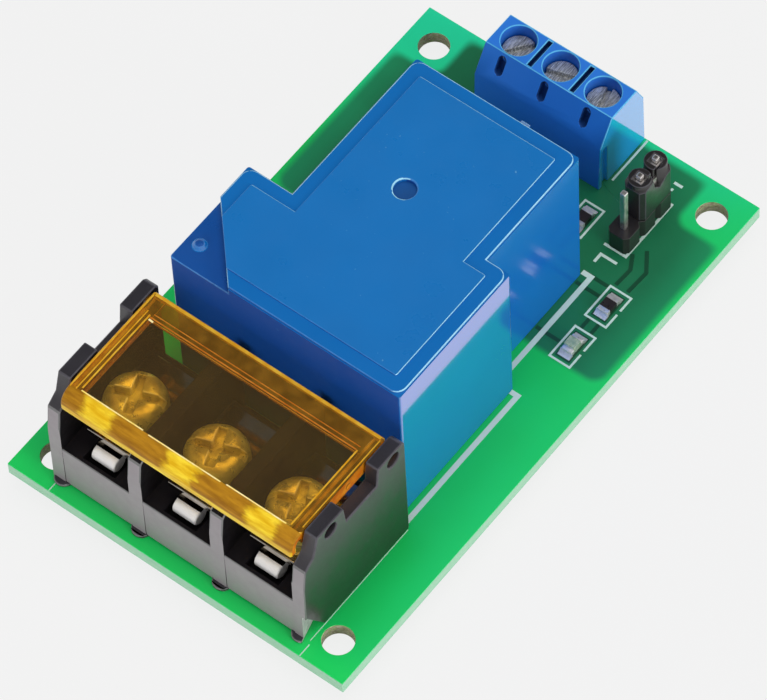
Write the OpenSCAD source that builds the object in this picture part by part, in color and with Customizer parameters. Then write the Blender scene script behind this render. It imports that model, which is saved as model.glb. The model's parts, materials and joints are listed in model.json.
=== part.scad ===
// Relay module board: a power relay on a small circuit board, switched through a three-pole
// input terminal and a trigger jumper, with its load wired to a covered barrier strip.
// Millimetres, +Z up. X runs across the board and Y along it. The origin is on the surface that
// the trimmed leads stand on, below the middle of the board.

/* [Board] */
// Width of the board
board_w = 40.2; // [40:0.1:48]
// Length of the board
board_l = 65.8; // [65.6:0.1:80]
// Thickness of the board
board_t = 1.6; // [1.2:0.1:2.4]
// Diameter of the four fixing holes
fixing_d = 3.2; // [2.5:0.1:3.6]
// Fixing holes from the long edges
fixing_inset_x = 3.2; // [2.8:0.1:4]
// Fixing holes from the short edges
fixing_inset_y = 3.5; // [2.8:0.1:4]
// How far the trimmed leads stand out below the board
lead_out = 2; // [1.6:0.1:3]

/* [Relay] */
// Width of the contact end
relay_w = 26.8; // [26:0.1:28]
// Length of the case
relay_l = 30.8; // [30:0.1:32]
// Height of the case
relay_h = 20.2; // [20:0.1:24]
// Width of the coil end
coil_end_w = 19; // [18.4:0.1:19.5]
// How far the coil end lies to the right of the middle
coil_end_shift = 1.3; // [0.5:0.1:1.5]
// Length of the left shoulder
left_shoulder = 11.7; // [10:0.1:13]
// Length of the right shoulder
right_shoulder = 16.6; // [14:0.1:18]
// Wall of the case
relay_wall = 1; // [0.8:0.1:1.2]
// Radius of the upright corners
relay_corner_r = 1.1; // [0.3:0.1:1.2]
// Swing of the armature
armature_swing = 2.5; // [1:0.1:3]

/* [Barrier strip] */
// Number of poles
poles = 3; // [3:1:3]
// Distance between poles
barrier_pitch = 9.7; // [9.5:0.1:10.2]
// Thickness of the walls between poles
divider_t = 1.6; // [1.2:0.1:2]
// Thickness of the end walls
end_wall_t = 1.5; // [1.2:0.1:2]
// Depth of the strip, front to back
barrier_l = 15.5; // [15.3:0.1:16]
// Height of the floor that carries the plates
barrier_floor_h = 6.1; // [5:0.1:7]
// Height of the end walls at the notch
notch_h = 13; // [12.8:0.1:14]
// Height of the ears above the notch
ear_h = 2.5; // [2.2:0.1:3.2]
// Thickness of the amber cover
cover_t = 0.9; // [0.7:0.1:1.1]
// How far the cover opens
cover_swing = 105; // [60:5:105]
// Diameter of the barrier screws
barrier_screw_d = 3.5; // [3:0.1:4]
// Diameter of their heads
barrier_head_d = 6.4; // [6:0.1:7]

/* [Input terminal] */
// Distance between poles
input_pitch = 5.08; // [5:0.02:5.2]
// Depth of the housing
input_l = 7.5; // [7.2:0.1:8]
// Height of the housing
input_h = 9.7; // [9.4:0.1:10.5]
// Diameter of the screw wells
input_well_d = 3.6; // [3.2:0.1:3.8]
// Diameter of the input screws
input_screw_d = 2.5; // [2:0.1:2.6]

/* [Trigger header] */
// Distance between pins
header_pitch = 2.54; // [2.54:0.01:2.6]
// Width across a pin
header_pin_w = 0.64; // [0.5:0.01:0.7]
// Height of the pins above the board
header_pin_h = 8.4; // [8:0.1:9]
// Height of the jumper cap
jumper_h = 5.3; // [5.1:0.1:5.6]

/* [Hidden] */

$fn = 48;
eps = 0.01; // overlap of cutting tools past a face
deck = lead_out + board_t; // height of the board's upper face
lead_gap = 0.15; // clearance of a lead in its plated hole
plug_fit = 0.05; // clearance of a fixed piece in its seat
run_fit = 0.06; // radial clearance of a turning or sliding piece

// Places of the large pieces on the board
relay_x = -0.13;
relay_y = -14.4; // front face of the case
barrier_x = -0.45;
barrier_y = -31.3; // front face of the strip
input_x = -1.25;
input_y = 25.3; // near face of the terminal
header_x = 11.85;
header_y = 24.54;

// Relay, measured from the middle of its front face on the board
base_t = 1.6;
base_lift = 0.3; // the base sits this far up inside the case
base_top = base_lift + base_t;
ledge_drop = 1.1;
ledge_x = 6.8; // sides of the ledge in the front left corner
ledge_y = 7.4;
ledge_nub_x = 1.4;
ledge_nub_y = 2.5;
dimple_y = 18.3;
coil_y = 20.2;
coil_x = coil_end_shift;
core_d = 6;
bobbin_tube_d = 7.6;
bobbin_flange = 14.2;
flange_t = 0.8;
winding_d = 12;
yoke_t = 1.2;
yoke_w = 11.6;
yoke_y = coil_y + bobbin_flange/2 + 0.3; // front face of the upright leg
pole_d = 8.4;
pole_t = 1;
armature_t = 1;
armature_w = 11;
armature_drop = 5;
armature_z = relay_h - armature_drop; // underside of the armature at rest
pole_gap = (yoke_y - coil_y + pole_d/2)*sin(armature_swing) + 0.05;
pole_top = armature_z - pole_gap;
flange_top = pole_top - pole_t;
yoke_top = armature_z - 0.05;
blade_t = 0.3;
blade_w = 5;
contact_y = 6;
contact_d = 4;
contact_t = 0.6;
contact_travel = (yoke_y - contact_y + contact_d/2)*sin(armature_swing);
blade_z = armature_z + armature_t;
fixed_t = 0.8; // thickness of the fixed contact strips
fixed_w = 4;
open_contact_top = blade_z - contact_t - contact_travel - 0.05;
closed_contact_z = blade_z + blade_t + contact_t + 0.03;
power_pin_w = 1.3;
power_pin_t = 0.8;
power_pin_gap = 2.6; // between the two prongs of one strip
coil_pin_d = 0.9;
coil_pin_x = yoke_w/2 + 0.9; // from the middle of the coil end
coil_pin_gap = 4;
coil_pin_y = coil_y + coil_pin_gap;
coil_boss_h = 1.6;
coil_pin_end = 2.4; // how far the pins reach up past the yoke
strip_x = relay_w/2 - relay_wall - 1.6; // outer contact strips from the middle

// Barrier strip, measured from the middle of its front face on the board
barrier_w = poles*barrier_pitch - divider_t + 2*end_wall_t;
bay_w = barrier_pitch - divider_t;
foot_h = 0.25; // the feet hold the strip this far off the board
ear_l = 4;
end_h = notch_h + ear_h;
pivot_z = end_h - 1.15;
pivot_front_y = 4.4;
pivot_rear_y = barrier_l - 1.75;
pivot_hole_r = 0.85;
divider_h = notch_h - 0.4;
barrier_screw_y = 6.5;
plate_t = 0.9;
plate_z = barrier_floor_h;
plate_w = 6.6;
tongue_w = 2.8;
tongue_y = 1.1; // nose of the tongue
roll_r = 0.9; // the tongue's end is rolled under
roll_drop = 2*roll_r - plate_t; // how far the roll hangs below the plate
plate_front_y = 3.3;
plate_leg_y = 12.1; // front face of the plate's leg
plate_leg_w = 4.6;
clamp_w = 5.2;
clamp_t = 0.8;
clamp_front = 4.3;
clamp_rear = 3.6;
clamp_lift = 0.7; // the clamps stand this far off the plates, as supplied
clamp_z = plate_z + plate_t + clamp_lift;
barrier_head_h = 2.7;
barrier_shank = 6.2;

cover_gap = 0.15; // between the cover and each end wall
cover_top = end_h - 0.2;
cover_w = barrier_w - 2*end_wall_t - 2*cover_gap;
cover_rear_y = barrier_l - 0.7;
cover_lip_y = 0.5;
cover_lip_z = notch_h - 0.1;
cover_bend_r = 1.6;
rail_w = 1.3;
rail_z = notch_h + 0.4;
rear_rail_l = 2.6;
rear_rail_t = 1.4;

// Input terminal, measured from the middle of its near face on the board
input_w = poles*input_pitch;
input_shoulder_h = input_h - 3.2;
input_shoulder_y = 0.3; // the near face leans back this far
input_top_y = 2.2; // near edge of the top
input_rear_y = input_l - 1.3; // far edge of the top
input_rear_h = input_h - 2.4; // the far slope ends here
input_screw_y = 4.2;
chamber_w = 4.3;
chamber_y = 1.6;
chamber_far_y = input_l - 0.4;
chamber_h = 6.5;
well_floor = 6.9;
input_head_d = input_well_d - 0.2;
input_head_h = 1.3;
cage_w = 4.1;
cage_l = 3.4;
cage_wall = 0.6;
contact_plate_z = 4;
contact_plate_t = 0.6;
cage_z = 0.8; // underside of the cage when open
cage_top = contact_plate_z + contact_plate_t + 0.1 + 0.7;
cage_rise = 1; // travel of the cage
contact_leg_y = 1.75;
input_pin_w = 1;
input_entry_w = 3.4;
input_entry_z = [1.4, 4.3];

// Header and jumper, measured from the middle of the header on the board
header_w = 2.5;
header_h = 2.54;
jumper_w = 2.5;
jumper_l = 4.9;
jumper_z = header_h + 0.1;
lobe_r = 1.15;

// Surface-mount pieces
chip_l = 2;
chip_w = 1.25;
chip_h = 0.55;
led_h = 0.85;
opto_w = 4.4;
opto_l = 3.8;
opto_h = 2;
opto_pitch = 2.54;
sot_w = 1.3;
sot_l = 2.9;
sot_h = 1;
sot_pitch = 1.9;
diode_w = 2.6;
diode_l = 4.2;
diode_h = 2;
package_foot = 0.9;
led_place = [15.05, 9.4];
led_resistor_place = [15.1, 15.05];
input_resistor_place = [7.15, 21.7];
base_resistor_place = [2.4, 21.7];
optocoupler_place = [-12.6, 21.6];
transistor_place = [-2.4, 21.7];
flyback_place = [-13.2, 12];

function pole_x(i, pitch) = (i - (poles - 1)/2)*pitch;
function arc(cx, cy, r, a0, a1, steps = 8) =
    [for (k = [0:steps]) let (a = a0 + (a1 - a0)*k/steps) [cx + r*cos(a), cy + r*sin(a)]];

// Leads through the board: [x, y, width, depth], and depth 0 for a round lead
LEADS = concat(
    [for (i = [0:poles - 1], s = [-1, 1])
        [barrier_x + pole_x(i, barrier_pitch) + s*power_pin_gap/2,
         barrier_y + plate_leg_y + plate_t/2, power_pin_w, plate_t]],
    [for (s = [-1, 1], side = [-1, 1])
        [relay_x + side*(strip_x + fixed_t/2), relay_y + contact_y + s*power_pin_gap/2,
         fixed_t, power_pin_w]],
    [for (s = [-1, 1])
        [relay_x + coil_x + s*power_pin_gap/2, relay_y + coil_y - bobbin_flange/2 - 0.3 - fixed_t/2,
         power_pin_w, fixed_t]],
    [for (s = [-1, 1]) [relay_x + coil_x + s*coil_pin_x, relay_y + coil_pin_y, coil_pin_d, 0]],
    [for (i = [0:poles - 1])
        [input_x + pole_x(i, input_pitch), input_y + contact_leg_y + contact_plate_t/2,
         input_pin_w, contact_plate_t]],
    [for (i = [-1:1]) [header_x, header_y + i*header_pitch, header_pin_w, header_pin_w]]
);
function lead_r(lead) = (lead[3] == 0 ? lead[2] : norm([lead[2], lead[3]]))/2;

module on_deck(x, y) {
    translate([x, y, deck]) children();
}

module on_relay() {
    on_deck(relay_x, relay_y) children();
}

module on_barrier(i = (poles - 1)/2) {
    on_deck(barrier_x + pole_x(i, barrier_pitch), barrier_y) children();
}

module on_input(i = (poles - 1)/2) {
    on_deck(input_x + pole_x(i, input_pitch), input_y) children();
}

module on_header(i = 0) {
    on_deck(header_x, header_y + i*header_pitch) children();
}

// A block from one corner to the opposite one
module block(low, high) {
    translate(low) cube(high - low);
}

// A rectangle from corner to corner with exact round corners
module rounded(low, high, r) {
    translate([low[0] + r, low[1]]) square([high[0] - low[0] - 2*r, high[1] - low[1]]);
    translate([low[0], low[1] + r]) square([high[0] - low[0], high[1] - low[1] - 2*r]);
    for (x = [low[0] + r, high[0] - r], y = [low[1] + r, high[1] - r])
        translate([x, y]) circle(r);
}

// A profile drawn in Y and Z, drawn out along X between two places
module along_x(x0, x1) {
    translate([x0, 0, 0]) rotate([90, 0, 90]) linear_extrude(x1 - x0) children();
}

// The part of a lead between two heights
module lead(spec, z0, z1, grow = 0) {
    if (spec[3] == 0)
        translate([spec[0], spec[1], z0]) cylinder(h = z1 - z0, r = spec[2]/2 + grow, $fn = 24);
    else
        block([spec[0] - spec[2]/2 - grow, spec[1] - spec[3]/2 - grow, z0],
              [spec[0] + spec[2]/2 + grow, spec[1] + spec[3]/2 + grow, z1]);
}

// ---------------------------------------------------------------- board

module circuit_board() {
    color("limegreen")
    difference() {
        translate([-board_w/2, -board_l/2, lead_out]) cube([board_w, board_l, board_t]);
        for (x = [-1, 1], y = [-1, 1])
            translate([x*(board_w/2 - fixing_inset_x), y*(board_l/2 - fixing_inset_y), 0])
                cylinder(h = deck + 1, d = fixing_d, $fn = 64);
        for (spec = LEADS)
            translate([spec[0], spec[1], 0])
                cylinder(h = deck + 1, r = lead_r(spec) + lead_gap, $fn = 24);
    }
}

// A solder fillet around each lead under the board
module solder_joints() {
    pad = 0.55;
    rise = 1.2;
    color("silver")
    for (spec = LEADS) {
        r = lead_r(spec) + lead_gap;
        difference() {
            translate([spec[0], spec[1], 0])
                rotate_extrude($fn = 24)
                    polygon(concat([[0, lead_out]], [[r + pad, lead_out]],
                        [for (k = [1:3]) let (a = k*30)
                            [r + pad*(1 - sin(a)), lead_out - rise*(1 - cos(a))]],
                        [[0, lead_out - rise]]));
            lead(spec, 0, deck);
        }
    }
}

// ---------------------------------------------------------------- relay

// T-shaped outline of the case, drawn in by the given amount
module relay_outline(inset = 0, corner = relay_corner_r) {
    r = max(corner - inset, 0.2);
    narrow_l = coil_end_shift - coil_end_w/2 + inset;
    narrow_r = coil_end_shift + coil_end_w/2 - inset;
    wide = relay_w/2 - inset;
    split = (narrow_l + narrow_r)/2;
    rounded([-wide, inset], [split + 2*r, left_shoulder - inset], r);
    rounded([split - 2*r, inset], [wide, right_shoulder - inset], r);
    rounded([narrow_l, inset], [narrow_r, relay_l - inset], r);
}

// The corner of the case that is set lower, grown by the given amount
module ledge_corner(grow = 0) {
    x = ledge_x + grow;
    y = ledge_y + grow;
    translate([-relay_w/2, 0]) polygon([[-1, -1], [x*(1 + 1/y), -1], [-1, y*(1 + 1/x)]]);
}

module relay_case() {
    panel = 1.5; // border round the raised panel
    panel_h = 0.15;
    rim_h = 0.4; // the top is set in above a fine step in the walls
    step = 0.12;
    step_corner = 0.15;
    shelf = relay_h - ledge_drop - relay_wall; // roof of the cavity under the ledge
    dimple_d = 2.3;
    dimple_depth = 0.5;
    nub_d = 1.6;
    nub_h = 0.35;
    gate_x = 4; // stub of the moulding gate on the far edge of the top
    gate_l = 1;
    gate_out = 0.35;
    color("royalblue")
    on_relay()
    difference() {
        union() {
            linear_extrude(relay_h - rim_h) relay_outline(-step, step_corner);
            translate([0, 0, relay_h - rim_h - eps])
                linear_extrude(rim_h - panel_h + eps) relay_outline();
            translate([0, 0, relay_h - panel_h - eps])
                linear_extrude(panel_h + eps) relay_outline(panel);
        }
        translate([0, 0, -eps]) linear_extrude(shelf + 2*eps) relay_outline(relay_wall);
        translate([0, 0, shelf])
            linear_extrude(ledge_drop) difference() {
                relay_outline(relay_wall);
                ledge_corner(2*relay_wall);
            }
        translate([0, 0, relay_h - ledge_drop]) linear_extrude(ledge_drop + 1) ledge_corner();
        translate([0, dimple_y, relay_h - dimple_depth])
            cylinder(h = dimple_depth + 1, d = dimple_d);
    }
    color("royalblue")
    on_relay()
    {
        translate([ledge_nub_x - relay_w/2, ledge_nub_y, relay_h - ledge_drop])
            cylinder(h = nub_h, d1 = nub_d, d2 = nub_d/2);
        block([gate_x, relay_l - eps, relay_h - 1], [gate_x + gate_l, relay_l + gate_out, relay_h - 0.3]);
    }
}

module relay_base() {
    color("navy")
    on_deck(0, 0)
    difference() {
        translate([relay_x, relay_y, base_lift])
            linear_extrude(base_t) relay_outline(relay_wall + plug_fit);
        for (spec = LEADS) lead(spec, -1, base_top + 1, plug_fit);
        for (side = [-1, 1])
            translate([relay_x + side*(strip_x + fixed_t/2), relay_y + contact_y, base_top - 0.6])
                block([-fixed_t/2 - plug_fit, -fixed_w/2 - plug_fit, 0],
                      [fixed_t/2 + plug_fit, fixed_w/2 + plug_fit, 1]);
    }
}

module relay_bobbin() {
    bottom = base_top + yoke_t;
    color("ivory")
    on_relay()
    translate([coil_x, coil_y, 0])
    difference() {
        union() {
            translate([-bobbin_flange/2, -bobbin_flange/2, bottom])
                cube([bobbin_flange, bobbin_flange, flange_t]);
            translate([-bobbin_flange/2, -bobbin_flange/2, flange_top - flange_t])
                cube([bobbin_flange, bobbin_flange, flange_t]);
            translate([0, 0, bottom]) cylinder(h = flange_top - bottom, d = bobbin_tube_d);
            for (s = [-1, 1])
                translate([s*coil_pin_x, coil_pin_y - coil_y, bottom])
                    cylinder(h = coil_boss_h, r = coil_pin_d/2 + 0.6, $fn = 24);
        }
        translate([0, 0, bottom - 1]) cylinder(h = relay_h, d = core_d + 2*plug_fit);
        for (s = [-1, 1])
            translate([s*coil_pin_x, coil_pin_y - coil_y, bottom - 1])
                cylinder(h = coil_pin_end + 2, r = coil_pin_d/2 + plug_fit, $fn = 24);
    }
}

module relay_coil() {
    bottom = base_top + yoke_t + flange_t;
    color("saddlebrown")
    on_relay()
    translate([coil_x, coil_y, bottom + plug_fit])
    difference() {
        cylinder(h = flange_top - flange_t - bottom - 2*plug_fit, d = winding_d);
        translate([0, 0, -1]) cylinder(h = relay_h, d = bobbin_tube_d + 2*plug_fit);
    }
}

module relay_core() {
    color("lightgray")
    on_relay()
    translate([coil_x, coil_y, 0]) {
        translate([0, 0, base_top + plug_fit])
            cylinder(h = flange_top - base_top, d = core_d);
        translate([0, 0, flange_top + plug_fit/2])
            cylinder(h = pole_top - flange_top - plug_fit/2, d = pole_d);
    }
}

module relay_yoke() {
    front = coil_y - bobbin_flange/2 - 0.3;
    color("silver")
    on_relay()
    translate([coil_x, 0, 0])
    difference() {
        union() {
            block([-yoke_w/2, front, base_top], [yoke_w/2, yoke_y + yoke_t, base_top + yoke_t]);
            block([-yoke_w/2, yoke_y, base_top], [yoke_w/2, yoke_y + yoke_t, yoke_top]);
        }
        translate([0, coil_y, 0]) cylinder(h = base_top + yoke_t + 1, d = core_d + 2*plug_fit);
    }
}

module relay_armature() {
    tail = 0.2; // stands out behind the upright leg
    front = coil_y - pole_d/2 - 1;
    color("gray")
    on_relay()
    block([coil_x - armature_w/2, front, armature_z],
          [coil_x + armature_w/2, yoke_y + yoke_t + tail, armature_z + armature_t]);
}

module relay_contact_blade() {
    color("peru")
    on_relay() {
        block([coil_x - blade_w/2, coil_y - 3, blade_z], [coil_x + blade_w/2, yoke_y - 1, blade_z + blade_t]);
        translate([0, 0, blade_z])
            linear_extrude(blade_t)
                polygon([[coil_x - blade_w/2, coil_y - 2.9], [-blade_w/2, contact_y + 2],
                         [-blade_w/2, contact_y - 2.2], [blade_w/2, contact_y - 2.2],
                         [blade_w/2, contact_y + 2], [coil_x + blade_w/2, coil_y - 2.9]]);
        translate([0, contact_y, blade_z - contact_t])
            cylinder(h = blade_t + 2*contact_t, d = contact_d);
    }
}

// A fixed contact: an arm over or under the blade, an upright strip beside it and two prongs
module fixed_contact(side, arm_z, button_z) {
    x_in = strip_x;
    x_out = strip_x + fixed_t;
    y0 = contact_y - fixed_w/2;
    y1 = contact_y + fixed_w/2;
    on_relay()
    mirror([side < 0 ? 1 : 0, 0, 0]) {
        block([-fixed_w/2, y0, arm_z], [x_out, y1, arm_z + fixed_t]);
        block([x_in, y0, base_top - 0.6], [x_out, y1, arm_z + fixed_t]);
        for (s = [-1, 1])
            block([x_in, contact_y + s*power_pin_gap/2 - power_pin_w/2, -deck],
                  [x_out, contact_y + s*power_pin_gap/2 + power_pin_w/2, base_top]);
        translate([0, contact_y, button_z]) cylinder(h = contact_t + eps, d = contact_d);
    }
}

module relay_open_contact() {
    color("orange")
    fixed_contact(-1, open_contact_top - contact_t - fixed_t, open_contact_top - contact_t - eps);
}

module relay_closed_contact() {
    color("orange")
    fixed_contact(1, closed_contact_z + contact_t, closed_contact_z);
}

module relay_common_terminal() {
    front = coil_y - bobbin_flange/2 - 0.3 - fixed_t;
    color("orange")
    on_relay()
    translate([coil_x, 0, 0]) {
        block([-fixed_w/2, front, base_top], [fixed_w/2, front + fixed_t, base_top + yoke_t]);
        for (s = [-1, 1])
            block([s*power_pin_gap/2 - power_pin_w/2, front, -deck],
                  [s*power_pin_gap/2 + power_pin_w/2, front + fixed_t, base_top + eps]);
    }
}

module relay_coil_pins() {
    color("silver")
    on_relay()
    for (s = [-1, 1])
        translate([coil_x + s*coil_pin_x, coil_pin_y, -deck])
            cylinder(h = deck + base_top + yoke_t + coil_pin_end, d = coil_pin_d, $fn = 24);
}

// ---------------------------------------------------------------- barrier strip

// Side view of an end wall: a waisted front edge, two ears and the notch between them
module end_profile() {
    rear_ear = barrier_l - ear_l;
    difference() {
        polygon([[0, 0], [0.1, notch_h - 3.5], [0.4, notch_h - 1], [1.7, notch_h],
                 [2.4, end_h], [2.4 + ear_l, end_h], [2.7 + ear_l, notch_h],
                 [rear_ear - 0.3, notch_h], [rear_ear, end_h], [barrier_l - 0.4, end_h],
                 [barrier_l, end_h - 0.4], [barrier_l, 0]]);
        for (y = [pivot_front_y, pivot_rear_y])
            translate([y, pivot_z]) circle(pivot_hole_r, $fn = 32);
    }
}

module divider_profile() {
    polygon([[0, 0], [0.1, notch_h - 3.5], [0.4, notch_h - 1], [1.2, divider_h],
             [barrier_l - 0.6, divider_h], [barrier_l, divider_h - 0.6], [barrier_l, 0]]);
}

module barrier_housing() {
    rear_step = 1.6;
    rear_step_h = 3;
    front_step = 0.08; // the floor stands back this far from the walls
    nub_r = 1; // half-round nubs in front of the feet
    nub_y = 0.35;
    nub_h = 0.35;
    nub_x = barrier_w/2 - nub_r; // at the end walls
    pocket = 0.5; // room round the roll of each tongue
    corner_turn = [30, 0, 14]; // slant of the bevel on the right lower front corner
    corner_low = [-0.5, -4, -6];
    corner_high = [2, 2.2, 3.4];
    inner = barrier_w/2 - end_wall_t;
    color("dimgray")
    on_barrier()
    difference() {
        union() {
            for (side = [0, 1])
                mirror([side, 0, 0]) along_x(inner, barrier_w/2) end_profile();
            for (i = [0:poles - 2])
                along_x(pole_x(i, barrier_pitch) + bay_w/2, pole_x(i + 1, barrier_pitch) - bay_w/2)
                    divider_profile();
            block([-inner - eps, front_step, foot_h],
                  [inner + eps, barrier_l - rear_step, barrier_floor_h]);
            block([-inner - eps, front_step, foot_h], [inner + eps, barrier_l, rear_step_h]);
            for (x = concat([-nub_x, nub_x], [for (i = [1:poles - 1]) pole_x(i - 0.5, barrier_pitch)]))
                translate([x, nub_y, 0]) cylinder(h = nub_h, r = nub_r);
        }
        for (i = [0:poles - 1])
            translate([pole_x(i, barrier_pitch), 0, 0]) {
                translate([0, barrier_screw_y, 1.4])
                    cylinder(h = barrier_floor_h, r = barrier_screw_d/2 + 0.5);
                block([-plate_leg_w/2 - plug_fit, plate_leg_y - plug_fit, -1],
                      [plate_leg_w/2 + plug_fit, plate_leg_y + plate_t + plug_fit, barrier_floor_h + 1]);
                block([-tongue_w/2 - pocket, tongue_y - pocket, barrier_floor_h - roll_drop - 0.3],
                      [tongue_w/2 + pocket, plate_front_y + 0.3, barrier_floor_h + 1]);
            }
        translate([barrier_w/2, 0, 0]) rotate(corner_turn) block(corner_low, corner_high);
    }
}

// Side view of the cover: a flat top, a bent front lip and a thick rear edge
module cover_profile() {
    bend = [cover_lip_y + cover_bend_r, cover_top - cover_bend_r];
    polygon(concat(
        [[cover_rear_y, cover_top]],
        arc(bend[0], bend[1], cover_bend_r, 90, 180),
        [[cover_lip_y, cover_lip_z], [cover_lip_y + cover_t, cover_lip_z]],
        arc(bend[0], bend[1], cover_bend_r - cover_t, 180, 90),
        [[cover_rear_y - rear_rail_l, cover_top - cover_t],
         [cover_rear_y - rear_rail_l, cover_top - rear_rail_t],
         [cover_rear_y, cover_top - rear_rail_t]]));
}

module barrier_cover() {
    pin_r = pivot_hole_r - run_fit;
    pin_l = 0.9;
    pip_r = 0.35; // the pip on each side that marks the middle
    pip_h = 0.08;
    pip_y = 9.1;
    rail_x = cover_w/2 - rail_w;
    color("orange", 0.6)
    on_barrier() {
        along_x(-cover_w/2, cover_w/2) cover_profile();
        for (side = [0, 1])
            mirror([side, 0, 0]) {
                block([rail_x, cover_lip_y + cover_bend_r, rail_z],
                      [cover_w/2, cover_rear_y, cover_top - cover_t + eps]);
                translate([cover_w/2 - eps, pivot_rear_y, pivot_z])
                    rotate([0, 90, 0]) cylinder(h = cover_gap + pin_l, r = pin_r, $fn = 32);
                translate([cover_w/2 - eps, pip_y, pivot_z])
                    rotate([0, 90, 0]) cylinder(h = pip_h, r = pip_r, $fn = 24);
            }
    }
}

// A plate: the rolled tongue in front, the threaded pad under the screw and the leg into the board
module barrier_plate(i) {
    soft = 0.12; // rounding at the ends of the roll
    top = plate_z + plate_t;
    color("lightgray")
    on_barrier(i)
    difference() {
        union() {
            block([-plate_w/2, plate_front_y, plate_z], [plate_w/2, plate_leg_y + plate_t, top]);
            block([-tongue_w/2, tongue_y + roll_r, plate_z], [tongue_w/2, plate_front_y + eps, top]);
            translate([0, tongue_y + roll_r, top - roll_r]) rotate([0, 90, 0])
                rotate_extrude($fn = 32)
                    polygon([[0, -tongue_w/2], [roll_r - soft, -tongue_w/2], [roll_r, soft - tongue_w/2],
                             [roll_r, tongue_w/2 - soft], [roll_r - soft, tongue_w/2], [0, tongue_w/2]]);
            block([-plate_leg_w/2, plate_leg_y, foot_h], [plate_leg_w/2, plate_leg_y + plate_t, top]);
            for (s = [-1, 1])
                block([s*power_pin_gap/2 - power_pin_w/2, plate_leg_y, -deck],
                      [s*power_pin_gap/2 + power_pin_w/2, plate_leg_y + plate_t, foot_h + eps]);
        }
        translate([0, barrier_screw_y, plate_z - 1])
            cylinder(h = plate_t + 2, r = barrier_screw_d/2 + run_fit);
    }
}

module barrier_clamp(i) {
    color("gainsboro")
    on_barrier(i)
    translate([0, barrier_screw_y, clamp_z])
    difference() {
        block([-clamp_w/2, -clamp_front, 0], [clamp_w/2, clamp_rear, clamp_t]);
        translate([0, 0, -1]) cylinder(h = clamp_t + 2, r = barrier_screw_d/2 + run_fit);
    }
}

// A pan-head screw with a combined slot and cross recess
module barrier_screw(i) {
    r = barrier_head_d/2;
    recess = 1.3;
    color("gold")
    on_barrier(i)
    translate([0, barrier_screw_y, clamp_z + clamp_t])
    difference() {
        rotate_extrude()
            polygon(concat([[0, -barrier_shank], [barrier_screw_d/2 - 0.4, -barrier_shank],
                            [barrier_screw_d/2, 0.4 - barrier_shank], [barrier_screw_d/2, 0.02],
                            [r, 0.02], [r, 1]],
                           [for (a = [15:15:90]) [r - 1.4 + 1.4*cos(a), 1 + (barrier_head_h - 1)*sin(a)]],
                           [[0, barrier_head_h]]));
        for (a = [20, 110])
            rotate([0, 0, a])
                block([-2.2, -0.45, barrier_head_h - recess], [2.2, 0.45, barrier_head_h + 1]);
        rotate([0, 0, 20])
            block([-r - 1, -0.4, barrier_head_h - 0.8], [r + 1, 0.4, barrier_head_h + 1]);
    }
}

// ---------------------------------------------------------------- input terminal

module input_housing() {
    slit = 0.85;
    slit_l = 2.1;
    slit_depth = 1;
    slope = atan2(input_h - input_shoulder_h, input_top_y - input_shoulder_y);
    slit_place = 0.6; // along the slope
    groove = 0.5;
    groove_depth = 0.9;
    side_groove_y = 0.95;
    side_groove = 0.84;
    side_groove_depth = 0.35;
    color("dodgerblue")
    on_input()
    difference() {
        along_x(-input_w/2, input_w/2)
            polygon([[0, 0], [input_shoulder_y, input_shoulder_h], [input_top_y, input_h],
                     [input_rear_y, input_h], [input_l - 0.2, input_rear_h], [input_l, 0]]);
        for (i = [0:poles - 1])
            translate([pole_x(i, input_pitch), 0, 0]) {
                block([-chamber_w/2, chamber_y, -1], [chamber_w/2, chamber_far_y, chamber_h]);
                translate([0, input_screw_y, chamber_h - 1])
                    cylinder(h = 3, r = input_screw_d/2 + 0.2);
                translate([0, input_screw_y, well_floor]) cylinder(h = input_h, d = input_well_d);
                block([-input_entry_w/2, chamber_far_y - 1, input_entry_z[0]],
                      [input_entry_w/2, input_l + 1, input_entry_z[1]]);
                translate([-0.2, input_shoulder_y + slit_place*(input_top_y - input_shoulder_y),
                           input_shoulder_h + slit_place*(input_h - input_shoulder_h)])
                    rotate([slope, 0, 0]) {
                        for (s = [-1, 1])
                            translate([0, s*(slit_l - slit)/2, -slit_depth])
                                cylinder(h = slit_depth + 1, d = slit, $fn = 16);
                        block([-slit/2, -(slit_l - slit)/2, -slit_depth],
                              [slit/2, (slit_l - slit)/2, 1]);
                    }
            }
        // grooves between the poles and the joining groove at the side
        for (i = [0:poles - 2])
            translate([pole_x(i, input_pitch) + input_pitch/2, 0, 0])
                block([-groove/2, input_top_y + 0.25, input_h - groove_depth],
                      [groove/2, input_rear_y - 0.25, input_h + 1]);
        translate([input_w/2, side_groove_y, -1])
            block([-side_groove_depth, -side_groove/2, 0],
                  [1, side_groove/2, input_shoulder_h + 0.5]);
    }
}

// The fixed contact plate over the wire, its leg and its pin
module input_contact(i) {
    w = 2.6;
    color("silver")
    on_input(i) {
        block([-w/2, contact_leg_y, contact_plate_z],
              [w/2, chamber_far_y - 0.2, contact_plate_z + contact_plate_t]);
        block([-w/2, contact_leg_y, 0.3], [w/2, contact_leg_y + contact_plate_t, contact_plate_z + eps]);
        block([-input_pin_w/2, contact_leg_y, -deck],
              [input_pin_w/2, contact_leg_y + contact_plate_t, 0.3 + eps]);
    }
}

// The rising cage that presses the wire up against the contact plate
module input_cage(i) {
    y0 = input_screw_y - cage_l/2;
    color("silver")
    on_input(i)
    difference() {
        block([-cage_w/2, y0, cage_z], [cage_w/2, y0 + cage_l, cage_top]);
        block([-cage_w/2 + cage_wall, y0 - 1, cage_z + cage_wall],
              [cage_w/2 - cage_wall, y0 + cage_l + 1, cage_top - 0.7]);
        translate([0, input_screw_y, cage_top - 2]) cylinder(h = 3, r = input_screw_d/2 + run_fit);
    }
}

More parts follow.
